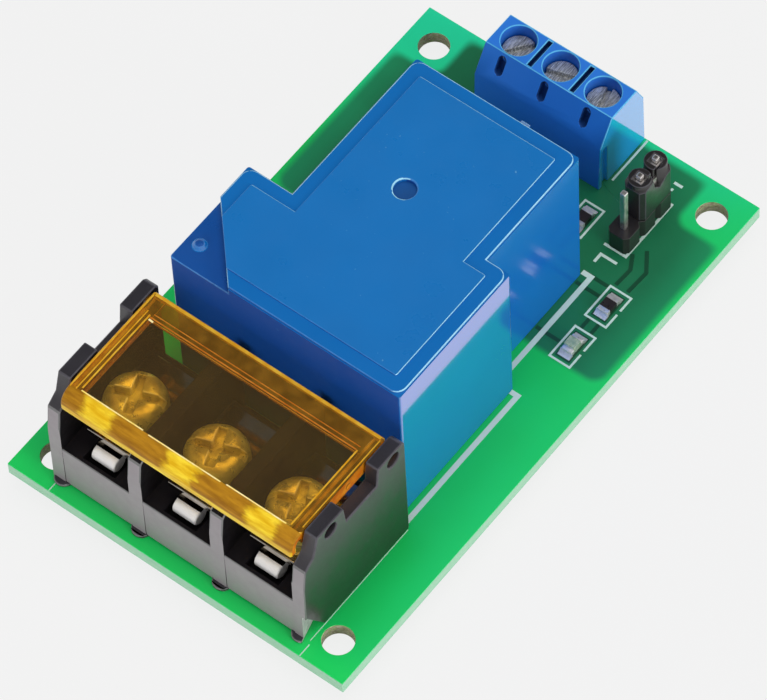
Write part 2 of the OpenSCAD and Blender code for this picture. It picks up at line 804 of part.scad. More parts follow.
module input_screw(i) {
    turn = [52, 17, 103][i]; // how far each slot is turned
    tip = contact_plate_z + contact_plate_t + 0.02;
    color("lightgray")
    on_input(i)
    translate([0, input_screw_y, 0])
    difference() {
        union() {
            translate([0, 0, tip]) cylinder(h = well_floor - tip + 0.1, d = input_screw_d, $fn = 32);
            translate([0, 0, well_floor + 0.02]) cylinder(h = input_head_h, d = input_head_d);
        }
        translate([0, 0, well_floor + input_head_h])
            rotate([0, 0, turn]) block([-3, -0.3, -0.6], [3, 0.3, 1]);
    }
}

// ---------------------------------------------------------------- trigger header

module header_base() {
    c = 0.45;
    color("black")
    for (i = [-1:1])
        on_header(i)
        difference() {
            linear_extrude(header_h)
                polygon([[-header_w/2, -header_pitch/2 + c], [-header_w/2 + c, -header_pitch/2],
                         [header_w/2 - c, -header_pitch/2], [header_w/2, -header_pitch/2 + c],
                         [header_w/2, header_pitch/2 - c], [header_w/2 - c, header_pitch/2],
                         [-header_w/2 + c, header_pitch/2], [-header_w/2, header_pitch/2 - c]]);
            block([-header_pin_w/2, -header_pin_w/2, -1], [header_pin_w/2, header_pin_w/2, 4]);
        }
}

module header_pins() {
    color("gold")
    for (i = [-1:1])
        on_header(i)
        block([-header_pin_w/2, -header_pin_w/2, -deck], [header_pin_w/2, header_pin_w/2, header_pin_h]);
}

// The clip inside the jumper: two square sleeves joined by a bridge
clip_out = header_pin_w/2 + run_fit + 0.2;
clip_z = header_h + 0.4;
clip_h = jumper_h - 0.4;
bridge_x = clip_out + 0.17;
bridge_t = 0.2;
bridge_h = clip_h - 1.1;

module jumper_clip() {
    color("silver")
    on_header(0.5)
    difference() {
        union() {
            for (s = [-1, 1])
                translate([0, s*header_pitch/2, clip_z]) block([-clip_out, -clip_out, 0], [clip_out, clip_out, clip_h]);
            block([bridge_x - bridge_t, -header_pitch/2, clip_z], [bridge_x, header_pitch/2, clip_z + bridge_h]);
        }
        for (s = [-1, 1])
            translate([0, s*header_pitch/2, clip_z - 1])
                block([-header_pin_w/2 - run_fit, -header_pin_w/2 - run_fit, 0],
                      [header_pin_w/2 + run_fit, header_pin_w/2 + run_fit, clip_h + 2]);
    }
}

// Side view of the shell between its two lobes
module shell_profile() {
    half = jumper_l/2;
    top = jumper_z + jumper_h;
    polygon([[-half, jumper_z], [-half, top - 0.8], [-0.7, top - 0.25], [-0.5, top - 1.5],
             [0.3, top - 2.4], [1.3, top - 1.7], [half, top - 1.4], [half, jumper_z]]);
}

module jumper_shell() {
    c = 0.45;
    half = jumper_l/2;
    over = jumper_z + jumper_h + 1;
    color("black")
    on_header(0.5)
    difference() {
        union() {
            intersection() {
                along_x(-jumper_w/2, jumper_w/2) shell_profile();
                linear_extrude(over)
                    polygon([[-jumper_w/2, -half + c], [-jumper_w/2 + c, -half], [jumper_w/2 - c, -half],
                             [jumper_w/2, -half + c], [jumper_w/2, half - c], [jumper_w/2 - c, half],
                             [-jumper_w/2 + c, half], [-jumper_w/2, half - c]]);
            }
            for (s = [-1, 1])
                translate([0, s*header_pitch/2, jumper_z]) cylinder(h = jumper_h, r = lobe_r);
        }
        for (s = [-1, 1])
            translate([0, s*header_pitch/2, 0]) block([-clip_out, -clip_out, 0], [clip_out, clip_out, over]);
        block([bridge_x - bridge_t, -header_pitch/2, 0], [bridge_x, header_pitch/2, over]);
    }
}

// ---------------------------------------------------------------- surface-mount pieces

// A chip part with its long side along Y, two metal ends and a body between them
module chip(place, body_color, body_h = chip_h) {
    cap = 0.45;
    on_deck(place[0], place[1]) {
        color("silver")
        for (s = [-1, 1])
            translate([-chip_w/2, s*(chip_l/2 - cap/2) - cap/2, 0]) cube([chip_w, cap, chip_h]);
        color(body_color)
        translate([-chip_w/2, -chip_l/2 + cap, 0.03]) cube([chip_w, chip_l - 2*cap, body_h]);
    }
}

module status_led() {
    chip(led_place, "honeydew", led_h);
}

module led_resistor() {
    chip(led_resistor_place, "black");
}

module input_resistor() {
    chip(input_resistor_place, "black");
}

module base_resistor() {
    chip(base_resistor_place, "black");
}

// A moulded package of the given size with gull-wing legs, each at [side, place along Y]
module package(place, size, legs) {
    knee = 0.25;
    leg_w = 0.44;
    leg_t = 0.18;
    on_deck(place[0], place[1]) {
        color("black") block([-size[0]/2, -size[1]/2, 0.1], [size[0]/2, size[1]/2, size[2]]);
        color("silver")
        for (leg = legs)
            translate([0, leg[1], 0])
            mirror([leg[0] < 0 ? 1 : 0, 0, 0]) {
                block([size[0]/2, -leg_w/2, 0], [size[0]/2 + package_foot, leg_w/2, leg_t]);
                block([size[0]/2, -leg_w/2, 0], [size[0]/2 + knee, leg_w/2, size[2]/2]);
            }
    }
}

module optocoupler() {
    package(optocoupler_place, [opto_w, opto_l, opto_h],
            [for (side = [-1, 1], end = [-1, 1]) [side, end*opto_pitch/2]]);
}

module transistor() {
    package(transistor_place, [sot_w, sot_l, sot_h],
            [[-1, -sot_pitch/2], [-1, sot_pitch/2], [1, 0]]);
}

module flyback_diode() {
    package(flyback_place, [diode_w, diode_l, diode_h], [[-1, 0], [1, 0]]);
}

circuit_board();
solder_joints();
relay_case();
relay_base();
relay_bobbin();
relay_coil();
relay_core();
relay_yoke();
relay_armature();
relay_contact_blade();
relay_open_contact();
relay_closed_contact();
relay_common_terminal();
relay_coil_pins();
barrier_housing();
barrier_cover();
barrier_plate(0);  // barrier_plate_1
barrier_plate(1);  // barrier_plate_2
barrier_plate(2);  // barrier_plate_3
barrier_clamp(0);  // barrier_clamp_1
barrier_clamp(1);  // barrier_clamp_2
barrier_clamp(2);  // barrier_clamp_3
barrier_screw(0);  // barrier_screw_1
barrier_screw(1);  // barrier_screw_2
barrier_screw(2);  // barrier_screw_3
input_housing();
input_contact(0);  // input_contact_1
input_contact(1);  // input_contact_2
input_contact(2);  // input_contact_3
input_cage(0);  // input_cage_1
input_cage(1);  // input_cage_2
input_cage(2);  // input_cage_3
input_screw(0);  // input_screw_1
input_screw(1);  // input_screw_2
input_screw(2);  // input_screw_3
header_base();
header_pins();
jumper_shell();
jumper_clip();
status_led();
led_resistor();
input_resistor();
base_resistor();
optocoupler();
transistor();
flyback_diode();
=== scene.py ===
"""Looks of the relay module board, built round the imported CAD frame.

Lengths are given in millimetres and turned into metres by MM."""

import json
import math

import bmesh
import bpy
from mathutils import Matrix, Vector

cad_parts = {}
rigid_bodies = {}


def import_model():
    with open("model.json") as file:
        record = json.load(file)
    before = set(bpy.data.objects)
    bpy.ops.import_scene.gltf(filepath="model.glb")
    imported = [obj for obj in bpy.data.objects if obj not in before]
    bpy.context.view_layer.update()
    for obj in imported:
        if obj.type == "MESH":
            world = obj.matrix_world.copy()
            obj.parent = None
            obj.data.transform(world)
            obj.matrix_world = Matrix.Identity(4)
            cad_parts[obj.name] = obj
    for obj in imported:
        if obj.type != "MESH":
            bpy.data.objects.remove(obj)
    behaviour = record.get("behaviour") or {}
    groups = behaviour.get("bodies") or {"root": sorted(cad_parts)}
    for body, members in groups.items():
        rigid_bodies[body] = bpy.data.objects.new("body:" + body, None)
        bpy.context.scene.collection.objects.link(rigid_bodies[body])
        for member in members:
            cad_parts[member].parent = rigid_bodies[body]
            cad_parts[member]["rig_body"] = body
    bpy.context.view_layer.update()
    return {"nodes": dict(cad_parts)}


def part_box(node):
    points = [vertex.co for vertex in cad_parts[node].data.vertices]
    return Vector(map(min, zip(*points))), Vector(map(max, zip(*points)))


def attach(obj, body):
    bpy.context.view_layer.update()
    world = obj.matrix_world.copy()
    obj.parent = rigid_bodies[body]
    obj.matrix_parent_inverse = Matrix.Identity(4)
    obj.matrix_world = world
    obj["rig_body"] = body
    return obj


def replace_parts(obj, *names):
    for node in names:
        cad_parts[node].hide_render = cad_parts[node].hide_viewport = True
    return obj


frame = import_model()

MM = 0.001
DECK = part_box("circuit_board")[1].z / MM  # height of the board's upper face


def box_mm(node):
    """The low and the high corner of a node's box."""
    return [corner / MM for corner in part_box(node)]


def path_from(node, *offsets):
    """Points (x, y), each given by its distance from the middle of a node."""
    low, high = box_mm(node)
    x, y = (low.x + high.x) / 2, (low.y + high.y) / 2
    return [(x + dx, y + dy) for dx, dy in offsets]


board_low, board_high = box_mm("circuit_board")
relay_low, relay_high = box_mm("relay_case")
barrier_low, barrier_high = box_mm("barrier_housing")
cover_low, cover_high = box_mm("barrier_cover")
input_low, input_high = box_mm("input_housing")

mid_x = (barrier_low.x + barrier_high.x) / 2
BAY_PITCH = box_mm("barrier_plate_2")[0].x - box_mm("barrier_plate_1")[0].x
LIP_EDGE_Z = cover_low.z + 0.75  # height of the cover's bright lower edge, which is painted light


# ------------------------------------------------------------------ shader helpers


class Nodes:
    """Short calls that add nodes to a node tree."""

    def __init__(self, tree):
        self.tree = tree

    def put(self, socket, value):
        if hasattr(value, "is_output"):
            self.tree.links.new(value, socket)
        elif hasattr(value, "__len__") and len(value) == 3 and socket.type == "RGBA":
            socket.default_value = (*value, 1)
        else:
            socket.default_value = value

    def node(self, kind, *inputs, out=0, **props):
        n = self.tree.nodes.new(kind)
        for key, value in props.items():
            setattr(n, key, value)
        for i, value in enumerate(inputs):
            if value is not None:
                self.put(n.inputs[i], value)
        return n.outputs[out]

    def math(self, op, *inputs, clamp=False):
        return self.node("ShaderNodeMath", *inputs, operation=op, use_clamp=clamp)

    def spread(self, value, low, high, to_low=0.0, to_high=1.0, kind="LINEAR"):
        """The value's range from low to high mapped on to another range, held at its ends."""
        return self.node("ShaderNodeMapRange", value, low, high, to_low, to_high, interpolation_type=kind)

    def soft(self, value, low, high, to_low=0.0, to_high=1.0):
        """The same with soft ends."""
        return self.spread(value, low, high, to_low, to_high, kind="SMOOTHSTEP")


class Shader(Nodes):
    """A material with one Principled shader."""

    def __init__(self, name):
        self.mat = bpy.data.materials.new(name)
        self.mat.use_nodes = True
        super().__init__(self.mat.node_tree)
        self.bsdf = self.tree.nodes["Principled BSDF"]
        self.coords = None

    def set(self, **values):
        """Sets inputs of the Principled shader, such as base_color or roughness."""
        for key, value in values.items():
            self.put(self.bsdf.inputs[key.replace("_", " ").title().replace("Ior", "IOR")], value)
        return self

    def place(self):
        """The piece's own coordinates in millimetres."""
        if self.coords is None:
            raw = self.node("ShaderNodeTexCoord", out=3)
            self.coords = self.node("ShaderNodeVectorMath", raw, operation="SCALE")
            self.put(self.coords.node.inputs["Scale"], 1 / MM)
        return self.coords

    def axes(self):
        split = self.node("ShaderNodeSeparateXYZ", self.place()).node
        return split.outputs[0], split.outputs[1], split.outputs[2]

    def noise(self, size, detail=2.0, rough=0.5, stretch=None):
        """Noise from 0 to 1 with features about size millimetres across."""
        where = self.place()
        if stretch:
            where = self.node("ShaderNodeVectorMath", where, stretch, operation="MULTIPLY")
        n = self.node("ShaderNodeTexNoise", where).node
        n.inputs["Scale"].default_value = 1 / size
        n.inputs["Detail"].default_value = detail
        n.inputs["Roughness"].default_value = rough
        return n.outputs["Fac"]

    def mix(self, amount, a, b):
        n = self.tree.nodes.new("ShaderNodeMix")
        n.data_type = "RGBA"
        self.put(n.inputs["Factor"], amount)
        self.put(n.inputs["A"], a)
        self.put(n.inputs["B"], b)
        return n.outputs["Result"]

    def bump(self, height, depth, strength=1.0):
        n = self.node("ShaderNodeBump").node
        n.inputs["Strength"].default_value = strength
        n.inputs["Distance"].default_value = depth * MM
        self.put(n.inputs["Height"], height)
        self.put(self.bsdf.inputs["Normal"], n.outputs[0])
        return self


def srgb(r, g, b):
    """A colour from screen values of 0 to 255."""
    return tuple(
        c / 12.92 / 255 if c <= 10 else ((c / 255 + 0.055) / 1.055) ** 2.4
        for c in (r, g, b)
    )


def moulded(
    name, dark, light, rough, grain=0.25, depth=0.006, ior=1.5, coat=0.0, coat_rough=0.1, coat_ior=1.5,
    patch=6.0, scuff=None,
):
    """Moulded plastic: cloudy colour, a fine spark-eroded grain and uneven gloss.

    patch is the size of the clouds, and scuff is the colour of small scuffs."""
    s = Shader(name)
    colour = s.mix(s.noise(patch, 3), dark, light)
    speck = s.noise(grain, 2)
    if scuff:
        nick = s.spread(s.noise(0.45, 2, 0.6), 0.7, 0.78)
        handled = s.spread(s.noise(5.0, 2), 0.5, 0.62)
        colour = s.mix(s.math("MULTIPLY", s.math("MULTIPLY", nick, handled), 0.7), colour, scuff)
    s.set(
        base_color=colour,
        roughness=s.spread(s.noise(patch * 0.6, 4), 0.3, 0.7, rough * 0.85, rough * 1.2),
        ior=ior,
        coat_weight=coat,
        coat_roughness=coat_rough,
        coat_ior=coat_ior,
    )
    s.bump(speck, depth)
    return s


def metal(name, colour, dull, rough, brushed=None, depth=0.004, grain=0.4, metallic=1.0, scratched=False):
    """Plated metal: a drawn or tumbled grain and uneven gloss, dull in patches or in fine scratches.

    A metallic value below 1 keeps the metal pale where it mirrors something dark."""
    s = Shader(name)
    if scratched:
        wear = s.spread(s.noise(0.3, 3, 0.7, (3.2, 0.3, 1.0)), 0.38, 0.62)
    else:
        wear = s.spread(s.noise(1.3, 4), 0.35, 0.75)
    grain_noise = s.noise(grain, 3, 0.6, brushed)
    s.set(
        base_color=s.mix(wear, colour, dull),
        metallic=metallic,
        roughness=s.spread(grain_noise, 0.3, 0.7, rough * 0.7, rough * 1.4),
    )
    s.bump(grain_noise, depth)
    return s


# ------------------------------------------------------------------ materials

HOLES = (board_high.x - 3.2, board_high.y - 3.5)  # the far right fixing hole, which the others mirror
HOLE_REACH = 2.2  # a face nearer to a hole's middle than this is its wall
POUR_NEAR_Y = 7.3
POUR_LOW = (board_low.x + 0.5, POUR_NEAR_Y)  # corners of the copper area under the mask
POUR_HIGH = (board_high.x - 0.5, board_high.y - 0.8)
KEEPOUT = (HOLES[0] - 2.5, HOLES[1] - 2.7)  # near corner of the bare area round each far hole
KEEPOUT_SIZE = 20  # the bare areas run on past the board's edges


def box_distance(s, x, y, low, high, r):
    """Distance to a round-cornered box in the plane of the board, below 0 inside it."""
    cx, cy = (low[0] + high[0]) / 2, (low[1] + high[1]) / 2
    dx = s.math("SUBTRACT", s.math("ABSOLUTE", s.math("SUBTRACT", x, cx)), high[0] - cx - r)
    dy = s.math("SUBTRACT", s.math("ABSOLUTE", s.math("SUBTRACT", y, cy)), high[1] - cy - r)
    ox, oy = s.math("MAXIMUM", dx, 0.0), s.math("MAXIMUM", dy, 0.0)
    away = s.math("SQRT", s.math("ADD", s.math("MULTIPLY", ox, ox), s.math("MULTIPLY", oy, oy)))
    within = s.math("MINIMUM", s.math("MAXIMUM", dx, dy), 0.0)
    return s.math("SUBTRACT", s.math("ADD", away, within), r)


def board_material():
    """Green solder mask, darker over the copper area, with the pale cut sides of the board, and painted
    sheen that makes it lighter towards the back and the edges.
    """
    s = Shader("solder_mask")
    x, y, z = s.axes()
    far_x = s.math("ABSOLUTE", x)
    keepout_far = (KEEPOUT[0] + KEEPOUT_SIZE, KEEPOUT[1] + KEEPOUT_SIZE)
    area_d = box_distance(s, x, y, POUR_LOW, POUR_HIGH, 1.5)
    bare_d = box_distance(s, far_x, y, KEEPOUT, keepout_far, 1.4)
    away = s.math("SMOOTH_MAX", area_d, s.math("MULTIPLY", bare_d, -1.0), 1.5)
    pour = s.math("SUBTRACT", 1.0, s.soft(away, -0.5, 0.5))

    bright = s.mix(s.noise(9.0, 2), srgb(12, 186, 78), srgb(18, 200, 102))
    # painted sheen: the bare mask lighter towards the back, the right edge and the front edge, and bluer at
    # the back
    far = s.soft(s.math("ADD", y, s.math("MULTIPLY", x, -0.3)), 18.0, 38.0)
    bright = s.mix(far, bright, srgb(26, 216, 158))
    right_sheen = s.soft(x, board_high.x - 4.6, board_high.x)
    bright = s.mix(s.math("MULTIPLY", right_sheen, 0.4), bright, srgb(22, 214, 112))
    front_edge = s.spread(y, board_low.y + 3.9, board_low.y + 0.9)
    bright = s.mix(front_edge, bright, srgb(22, 212, 96))

    dark = s.mix(s.noise(5.0, 3), srgb(23, 104, 66), srgb(27, 120, 80))
    # painted sheen: the copper area lighter near the side edges and in the far corner
    dark = s.mix(s.soft(far_x, board_high.x - 4.1, board_high.x - 0.7), dark, srgb(26, 132, 86))
    far_corner_sheen = s.soft(s.math("ADD", y, x), 38.0, 54.0)
    dark = s.mix(far_corner_sheen, dark, srgb(25, 148, 92))
    face = s.mix(pour, bright, dark)

    side = s.mix(s.noise(0.5, 3, 0.5, (0.3, 0.3, 3.0)), srgb(132, 200, 160), srgb(188, 222, 196))
    middle_z = (board_low.z + board_high.z) / 2
    rim = s.soft(s.math("ABSOLUTE", s.math("SUBTRACT", z, middle_z)), 0.55, 0.78)
    side = s.mix(s.math("MULTIPLY", rim, 0.8), side, srgb(96, 200, 146))

    up = s.node("ShaderNodeSeparateXYZ", s.node("ShaderNodeNewGeometry", out=1), out=2)
    flat = s.soft(s.math("ABSOLUTE", up), 0.45, 0.55)
    s.set(
        base_color=s.mix(flat, side, face),
        roughness=s.spread(flat, 0.0, 1.0, 0.6, 0.32),
        ior=1.5,
    )
    weave = s.noise(0.7, 2, 0.5, (1.0, 0.25, 1.0))
    relief = s.math("ADD", s.math("MULTIPLY", weave, 0.5), s.math("MULTIPLY", pour, 1.2))
    s.bump(relief, 0.02, 0.5)
    return s


def laminate_material():
    """The drilled wall of a hole: glass cloth and resin in fine layers."""
    s = Shader("drilled_wall")
    layers = s.noise(0.25, 3, 0.7, (0.5, 0.5, 2.5))
    speck = s.noise(0.35, 2)
    wall = s.mix(s.spread(layers, 0.35, 0.7), srgb(96, 84, 52), srgb(206, 206, 176))
    s.set(base_color=s.mix(s.spread(speck, 0.5, 0.7), wall, srgb(150, 170, 110)), roughness=0.7)
    s.bump(layers, 0.04)
    return s


def amber(name, tint, clear, rough, ripple=0.0, deep=None, cloud=2.5):
    """Amber moulding. clear is how much of the light passes, and ripple how wavy its faces are."""
    s = Shader(name)
    s.set(
        base_color=s.mix(s.spread(s.noise(cloud, 3), 0.35, 0.65), tint, deep or tint),
        transmission_weight=clear,
        roughness=rough,
        ior=1.49,
    )
    if ripple:
        s.bump(s.noise(1.6, 2), ripple)
    return s


def lip_material():
    """The bent front of the cover: brown, with golden patches before each bay and a bright lower edge, both
    painted light.
    """
    s = Shader("amber_lip")
    x, _, z = s.axes()
    ragged = s.noise(1.1, 3, 0.6, (0.45, 1.0, 1.6))
    nearest = s.math("PINGPONG", s.math("SUBTRACT", x, mid_x - 1.5 * BAY_PITCH), BAY_PITCH / 2)
    # 0 at a divider and half the pitch at the middle of a bay
    # painted light: golden patches before the middle of each bay
    patch = s.soft(s.math("ADD", nearest, s.math("MULTIPLY", ragged, 3.6)), 4.4, 5.6)
    height = s.math("ADD", z, s.math("MULTIPLY", ragged, -0.25))
    # painted glow: a bright band along the lower edge
    low = s.math("SUBTRACT", 1.0, s.soft(height, LIP_EDGE_Z - 0.12, LIP_EDGE_Z + 0.16))
    streak = s.spread(s.noise(0.8, 4, 0.6, (0.25, 1.0, 2.0)), 0.35, 0.65)
    brown = s.mix(streak, srgb(148, 98, 16), srgb(186, 132, 28))
    gold = s.mix(streak, srgb(222, 172, 18), srgb(252, 220, 56))
    s.set(
        base_color=s.mix(s.math("MAXIMUM", patch, low), brown, gold),
        roughness=0.3,
        ior=1.25,
    )
    s.bump(ragged, 0.01)
    return s


MATERIALS = {
    # circuit board
    "mask": board_material(),
    "hole_wall": laminate_material(),
    # relay
    "relay": moulded(
        "relay_shell", srgb(15, 103, 178), srgb(20, 113, 190), rough=0.16, grain=0.3, depth=0.002,
        coat=1.0, coat_rough=0.04, patch=8.0,
    ),
    # painted light: a lighter copy of the shell's blue for the right sides of the wide end and for the base
    "relay_right_lit": moulded(
        "relay_right_lit", srgb(10, 91, 202), srgb(14, 99, 214), rough=0.06, grain=0.3, depth=0.001, ior=2.0,
        coat=1.0, coat_rough=0.03, patch=8.0, coat_ior=2.0,
    ),
    # painted light: a lighter copy for the other right sides
    "relay_far_lit": moulded(
        "relay_far_side", srgb(10, 106, 198), srgb(14, 114, 208), rough=0.15, grain=0.3, depth=0.001,
        coat=0.6, patch=8.0,
    ),
    # painted shade: a darker copy for the ledge
    "relay_ledge_shaded": moulded(
        "relay_ledge_shaded", srgb(10, 74, 152), srgb(14, 82, 160), rough=0.3, grain=0.3, depth=0.004, coat=0.5,
        patch=8.0,
    ),
    # painted shade: a darker copy for the dimple
    "relay_dimple_shaded": moulded(
        "relay_dimple_shaded", srgb(14, 76, 142), srgb(18, 86, 154), rough=0.4, grain=0.3, depth=0.004,
    ),
    "relay_panel": moulded(
        "relay_panel", srgb(12, 109, 182), srgb(18, 119, 195), rough=0.3, grain=0.3, depth=0.004,
        coat=1.0, patch=7.0, scuff=srgb(130, 190, 220),
    ),
    # painted shade: a darker copy for the front
    "relay_front_shaded": moulded(
        "relay_front_shaded", srgb(18, 71, 152), srgb(22, 78, 161), rough=0.5, grain=0.3, depth=0.004, ior=1.4,
        patch=7.0, scuff=srgb(90, 150, 200),
    ),
    # painted highlight: pale edges
    "relay_edge_highlight": moulded(
        "relay_edge_highlight", srgb(120, 190, 226), srgb(176, 226, 240), rough=0.3, grain=0.3, depth=0.002,
        coat=0.4, patch=1.5,
    ),
    # painted highlight: faint lighter edges
    "relay_faint_highlight": moulded(
        "relay_soft_edge", srgb(30, 104, 182), srgb(62, 134, 200), rough=0.3, grain=0.3, depth=0.002,
        coat=0.4, patch=0.8,
    ),
    # print on the board
    "silk": moulded(
        "silkscreen", srgb(184, 212, 202), srgb(206, 226, 218), rough=0.6, grain=0.15, depth=0.01,
    ),
    "trace": moulded(
        "masked_trace", srgb(16, 66, 44), srgb(20, 78, 52), rough=0.35, grain=0.4, depth=0.003,
    ),
    # barrier strip
    "black": moulded(
        "barrier_shell", srgb(40, 38, 42), srgb(54, 52, 58), rough=0.4, grain=0.18, depth=0.012, coat=0.2,
        coat_rough=0.3, patch=3.0,
    ),
    # painted sheen: a grey copy of the black for the front faces
    "front": moulded(
        "barrier_front_sheen", srgb(136, 129, 134), srgb(146, 139, 143), rough=0.5, grain=0.16, depth=0.014,
        ior=1.6, coat=0.3, coat_rough=0.4, patch=2.0,
    ),
    # painted shade: a darker, glossier copy of the black for the end walls
    "side": moulded(
        "barrier_side_shaded", srgb(24, 22, 26), srgb(32, 30, 34), rough=0.34, grain=0.16, ior=1.75,
        patch=3.0, scuff=srgb(120, 130, 128),
    ),
    # painted shade: a darker, duller copy of the black inside the bays
    "bay": moulded(
        "barrier_bay_shade", srgb(20, 18, 21), srgb(28, 26, 29), rough=0.7, grain=0.2, depth=0.01, ior=1.15,
        patch=2.0,
    ),
    # painted highlight: grey edges at the front
    "front_edge": moulded(
        "barrier_front_edge", srgb(96, 96, 98), srgb(122, 122, 122), rough=0.4, grain=0.2,
    ),
    # painted highlight: dimmer edges elsewhere
    "dim_edge_highlight": moulded(
        "barrier_dark_edge", srgb(56, 54, 60), srgb(84, 82, 88), rough=0.4, grain=0.2, patch=0.8,
    ),
    # painted highlight: pale low rounded corners that face right
    "lit_edge": moulded(
        "barrier_lit_edge", srgb(120, 122, 122), srgb(206, 208, 206), rough=0.5, grain=0.2, depth=0.02,
        patch=0.5,
    ),
    # trigger header
    "inner_black": moulded(
        "header_shell", srgb(34, 32, 33), srgb(46, 43, 44), rough=0.34, grain=0.15, depth=0.01, coat=0.4,
        coat_rough=0.15, patch=1.5,
    ),
    # amber cover
    "panel": amber(
        "amber_panel", (0.86, 0.62, 0.26), clear=0.975, rough=0.01, ripple=0.002, deep=(0.8, 0.55, 0.25),
        cloud=4.0,
    ),
    "frame": amber(
        "amber_frame", (0.42, 0.21, 0.025), clear=0.6, rough=0.06, ripple=0.01, deep=(0.24, 0.12, 0.016),
        cloud=1.5,
    ),
    "lip": lip_material(),
    # painted highlight on the cover's rounded edges and rims
    "glow": amber(
        "amber_rim_highlight", srgb(226, 158, 24), clear=0.1, rough=0.15, deep=srgb(240, 190, 60), cloud=1.2,
    ),
    # painted highlight along the inner rim
    "ember": amber(
        "amber_inner_rim_highlight", srgb(190, 104, 22), clear=0.1, rough=0.2, deep=srgb(216, 136, 44), cloud=1.2,
    ),
    # painted highlight along the bend of the lip
    "gleam": amber(
        "amber_gleam", srgb(255, 226, 110), clear=0.0, rough=0.2, deep=srgb(255, 240, 180), cloud=1.0,
    ),
    "end": amber(
        "amber_end", srgb(214, 112, 14), clear=0.25, rough=0.12, ripple=0.006, deep=srgb(236, 150, 30),
        cloud=1.0,
    ),
    # metals
    "nickel": metal(
        "nickel_plate", (0.86, 0.8, 0.2), (0.42, 0.36, 0.08), rough=0.32, depth=0.06, grain=0.8,
        metallic=0.7,
    ),
    # painted highlight for the screw heads' rims
    "nickel_rim_highlight": metal("nickel_rim_highlight", (1.0, 0.96, 0.4), (0.85, 0.7, 0.25), rough=0.5, metallic=0.4),
    "tin": metal(
        "tinned_brass", (0.97, 0.96, 0.95), (0.92, 0.89, 0.85), rough=0.5, brushed=(0.3, 2.0, 1.0),
        depth=0.002, metallic=0.45,
    ),
    "flat_nickel": metal(
        "flat_nickel", (0.5, 0.46, 0.4), (0.3, 0.27, 0.22), rough=0.09, depth=0.001, grain=0.5,
    ),
    "zinc": metal(
        "zinc_steel", (1.0, 1.0, 0.96), (0.34, 0.34, 0.32), rough=0.5, brushed=(3.0, 0.3, 1.0),
        depth=0.04, grain=0.3, metallic=0.75, scratched=True,
    ),
    "solder": metal(
        "solder_metal", (0.95, 0.95, 0.95), (0.66, 0.66, 0.67), rough=0.36, depth=0.02, grain=0.3,
        metallic=0.7,
    ),
    "pin": metal("plated_pin", (0.94, 0.9, 0.88), (0.74, 0.7, 0.66), rough=0.4),
    "iron": metal("soft_iron", (0.55, 0.55, 0.56), (0.35, 0.35, 0.36), rough=0.35, brushed=(1.0, 1.0, 0.2)),
    "copper": metal("contact_copper", (0.85, 0.55, 0.34), (0.55, 0.33, 0.2), rough=0.28),
    # input terminal
    "terminal": moulded(
        "terminal_shell", srgb(18, 116, 196), srgb(26, 132, 208), rough=0.28, coat=1.0, coat_rough=0.07,
        patch=5.0,
    ),
    # painted light: a lighter copy for the right sides and the side groove
    "terminal_right_lit": moulded(
        "terminal_right_lit", srgb(10, 158, 238), srgb(14, 164, 246), rough=0.08, depth=0.001, ior=1.9,
        coat=1.0, coat_rough=0.04, patch=5.0, coat_ior=2.0,
    ),
    "terminal_front": moulded(
        "terminal_front", srgb(36, 114, 212), srgb(40, 122, 220), rough=0.5, ior=1.4, patch=5.0,
    ),
    # painted shade: a darker copy in slits and grooves
    "terminal_deep_shade": moulded(
        "terminal_recess_shade", srgb(20, 50, 104), srgb(26, 66, 130), rough=0.5, ior=1.4, patch=2.0,
    ),
    # painted highlight on the edges
    "terminal_edge_highlight": moulded(
        "terminal_edge_highlight", srgb(60, 160, 220), srgb(110, 200, 240), rough=0.35, grain=0.3, depth=0.003,
    ),
    # inside the relay
    "bobbin": moulded("bobbin_nylon", srgb(222, 216, 200), srgb(236, 230, 214), rough=0.5),
    "winding": moulded(
        "coil_winding", srgb(118, 48, 20), srgb(160, 78, 34), rough=0.3, grain=0.2, depth=0.02,
    ),
    # small pieces
    "package": moulded(
        "package_body", srgb(30, 30, 32), srgb(46, 46, 47), rough=0.5, grain=0.12, depth=0.01,
    ),
    "chip": moulded(
        "chip_body", srgb(30, 26, 28), srgb(52, 46, 48), rough=0.3, grain=0.15, depth=0.004, patch=0.5,
    ),
    "lens": amber(
        "led_lens", srgb(196, 214, 188), clear=0.35, rough=0.12, ripple=0.01, deep=srgb(150, 180, 160),
        cloud=0.4,
    ),
}


# ------------------------------------------------------------------ shape helpers


def link(name, mesh, body):
    """A new piece that rides on a body."""
    ob = bpy.data.objects.new(name, mesh)
    bpy.context.scene.collection.objects.link(ob)
    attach(ob, body)
    return ob


def paint(ob, *keys):
    """Gives a piece its materials, by their keys in MATERIALS."""
    ob.data.materials.clear()
    for key in keys:
        ob.data.materials.append(MATERIALS[key].mat)
    return ob


def from_faces(bm, name, body, key):
    """A piece with one material, from a bmesh whose faces may still point either way."""
    bmesh.ops.recalc_face_normals(bm, faces=bm.faces)
    mesh = bpy.data.meshes.new(name)
    bm.to_mesh(mesh)
    bm.free()
    return paint(link(name, mesh, body), key)


SMOOTH_ANGLE = math.radians(35)  # a fold below this is shaded as round
BEVEL_ANGLE = math.radians(30)  # an edge above this is rounded
FLAT_ANGLE = math.radians(0.6)  # faces that meet at less than this are joined into one
NARROW = 0.14  # an edge with less room than this stays sharp
ROOM_SHARE = 0.4  # how much of its room a rounded edge takes at most


def face_width(f, e):
    """How far the face reaches back from its edge, roughly."""
    if len(f.verts) < 5:
        return f.calc_area() / e.calc_length()
    return 2 * f.calc_area() / f.calc_perimeter()


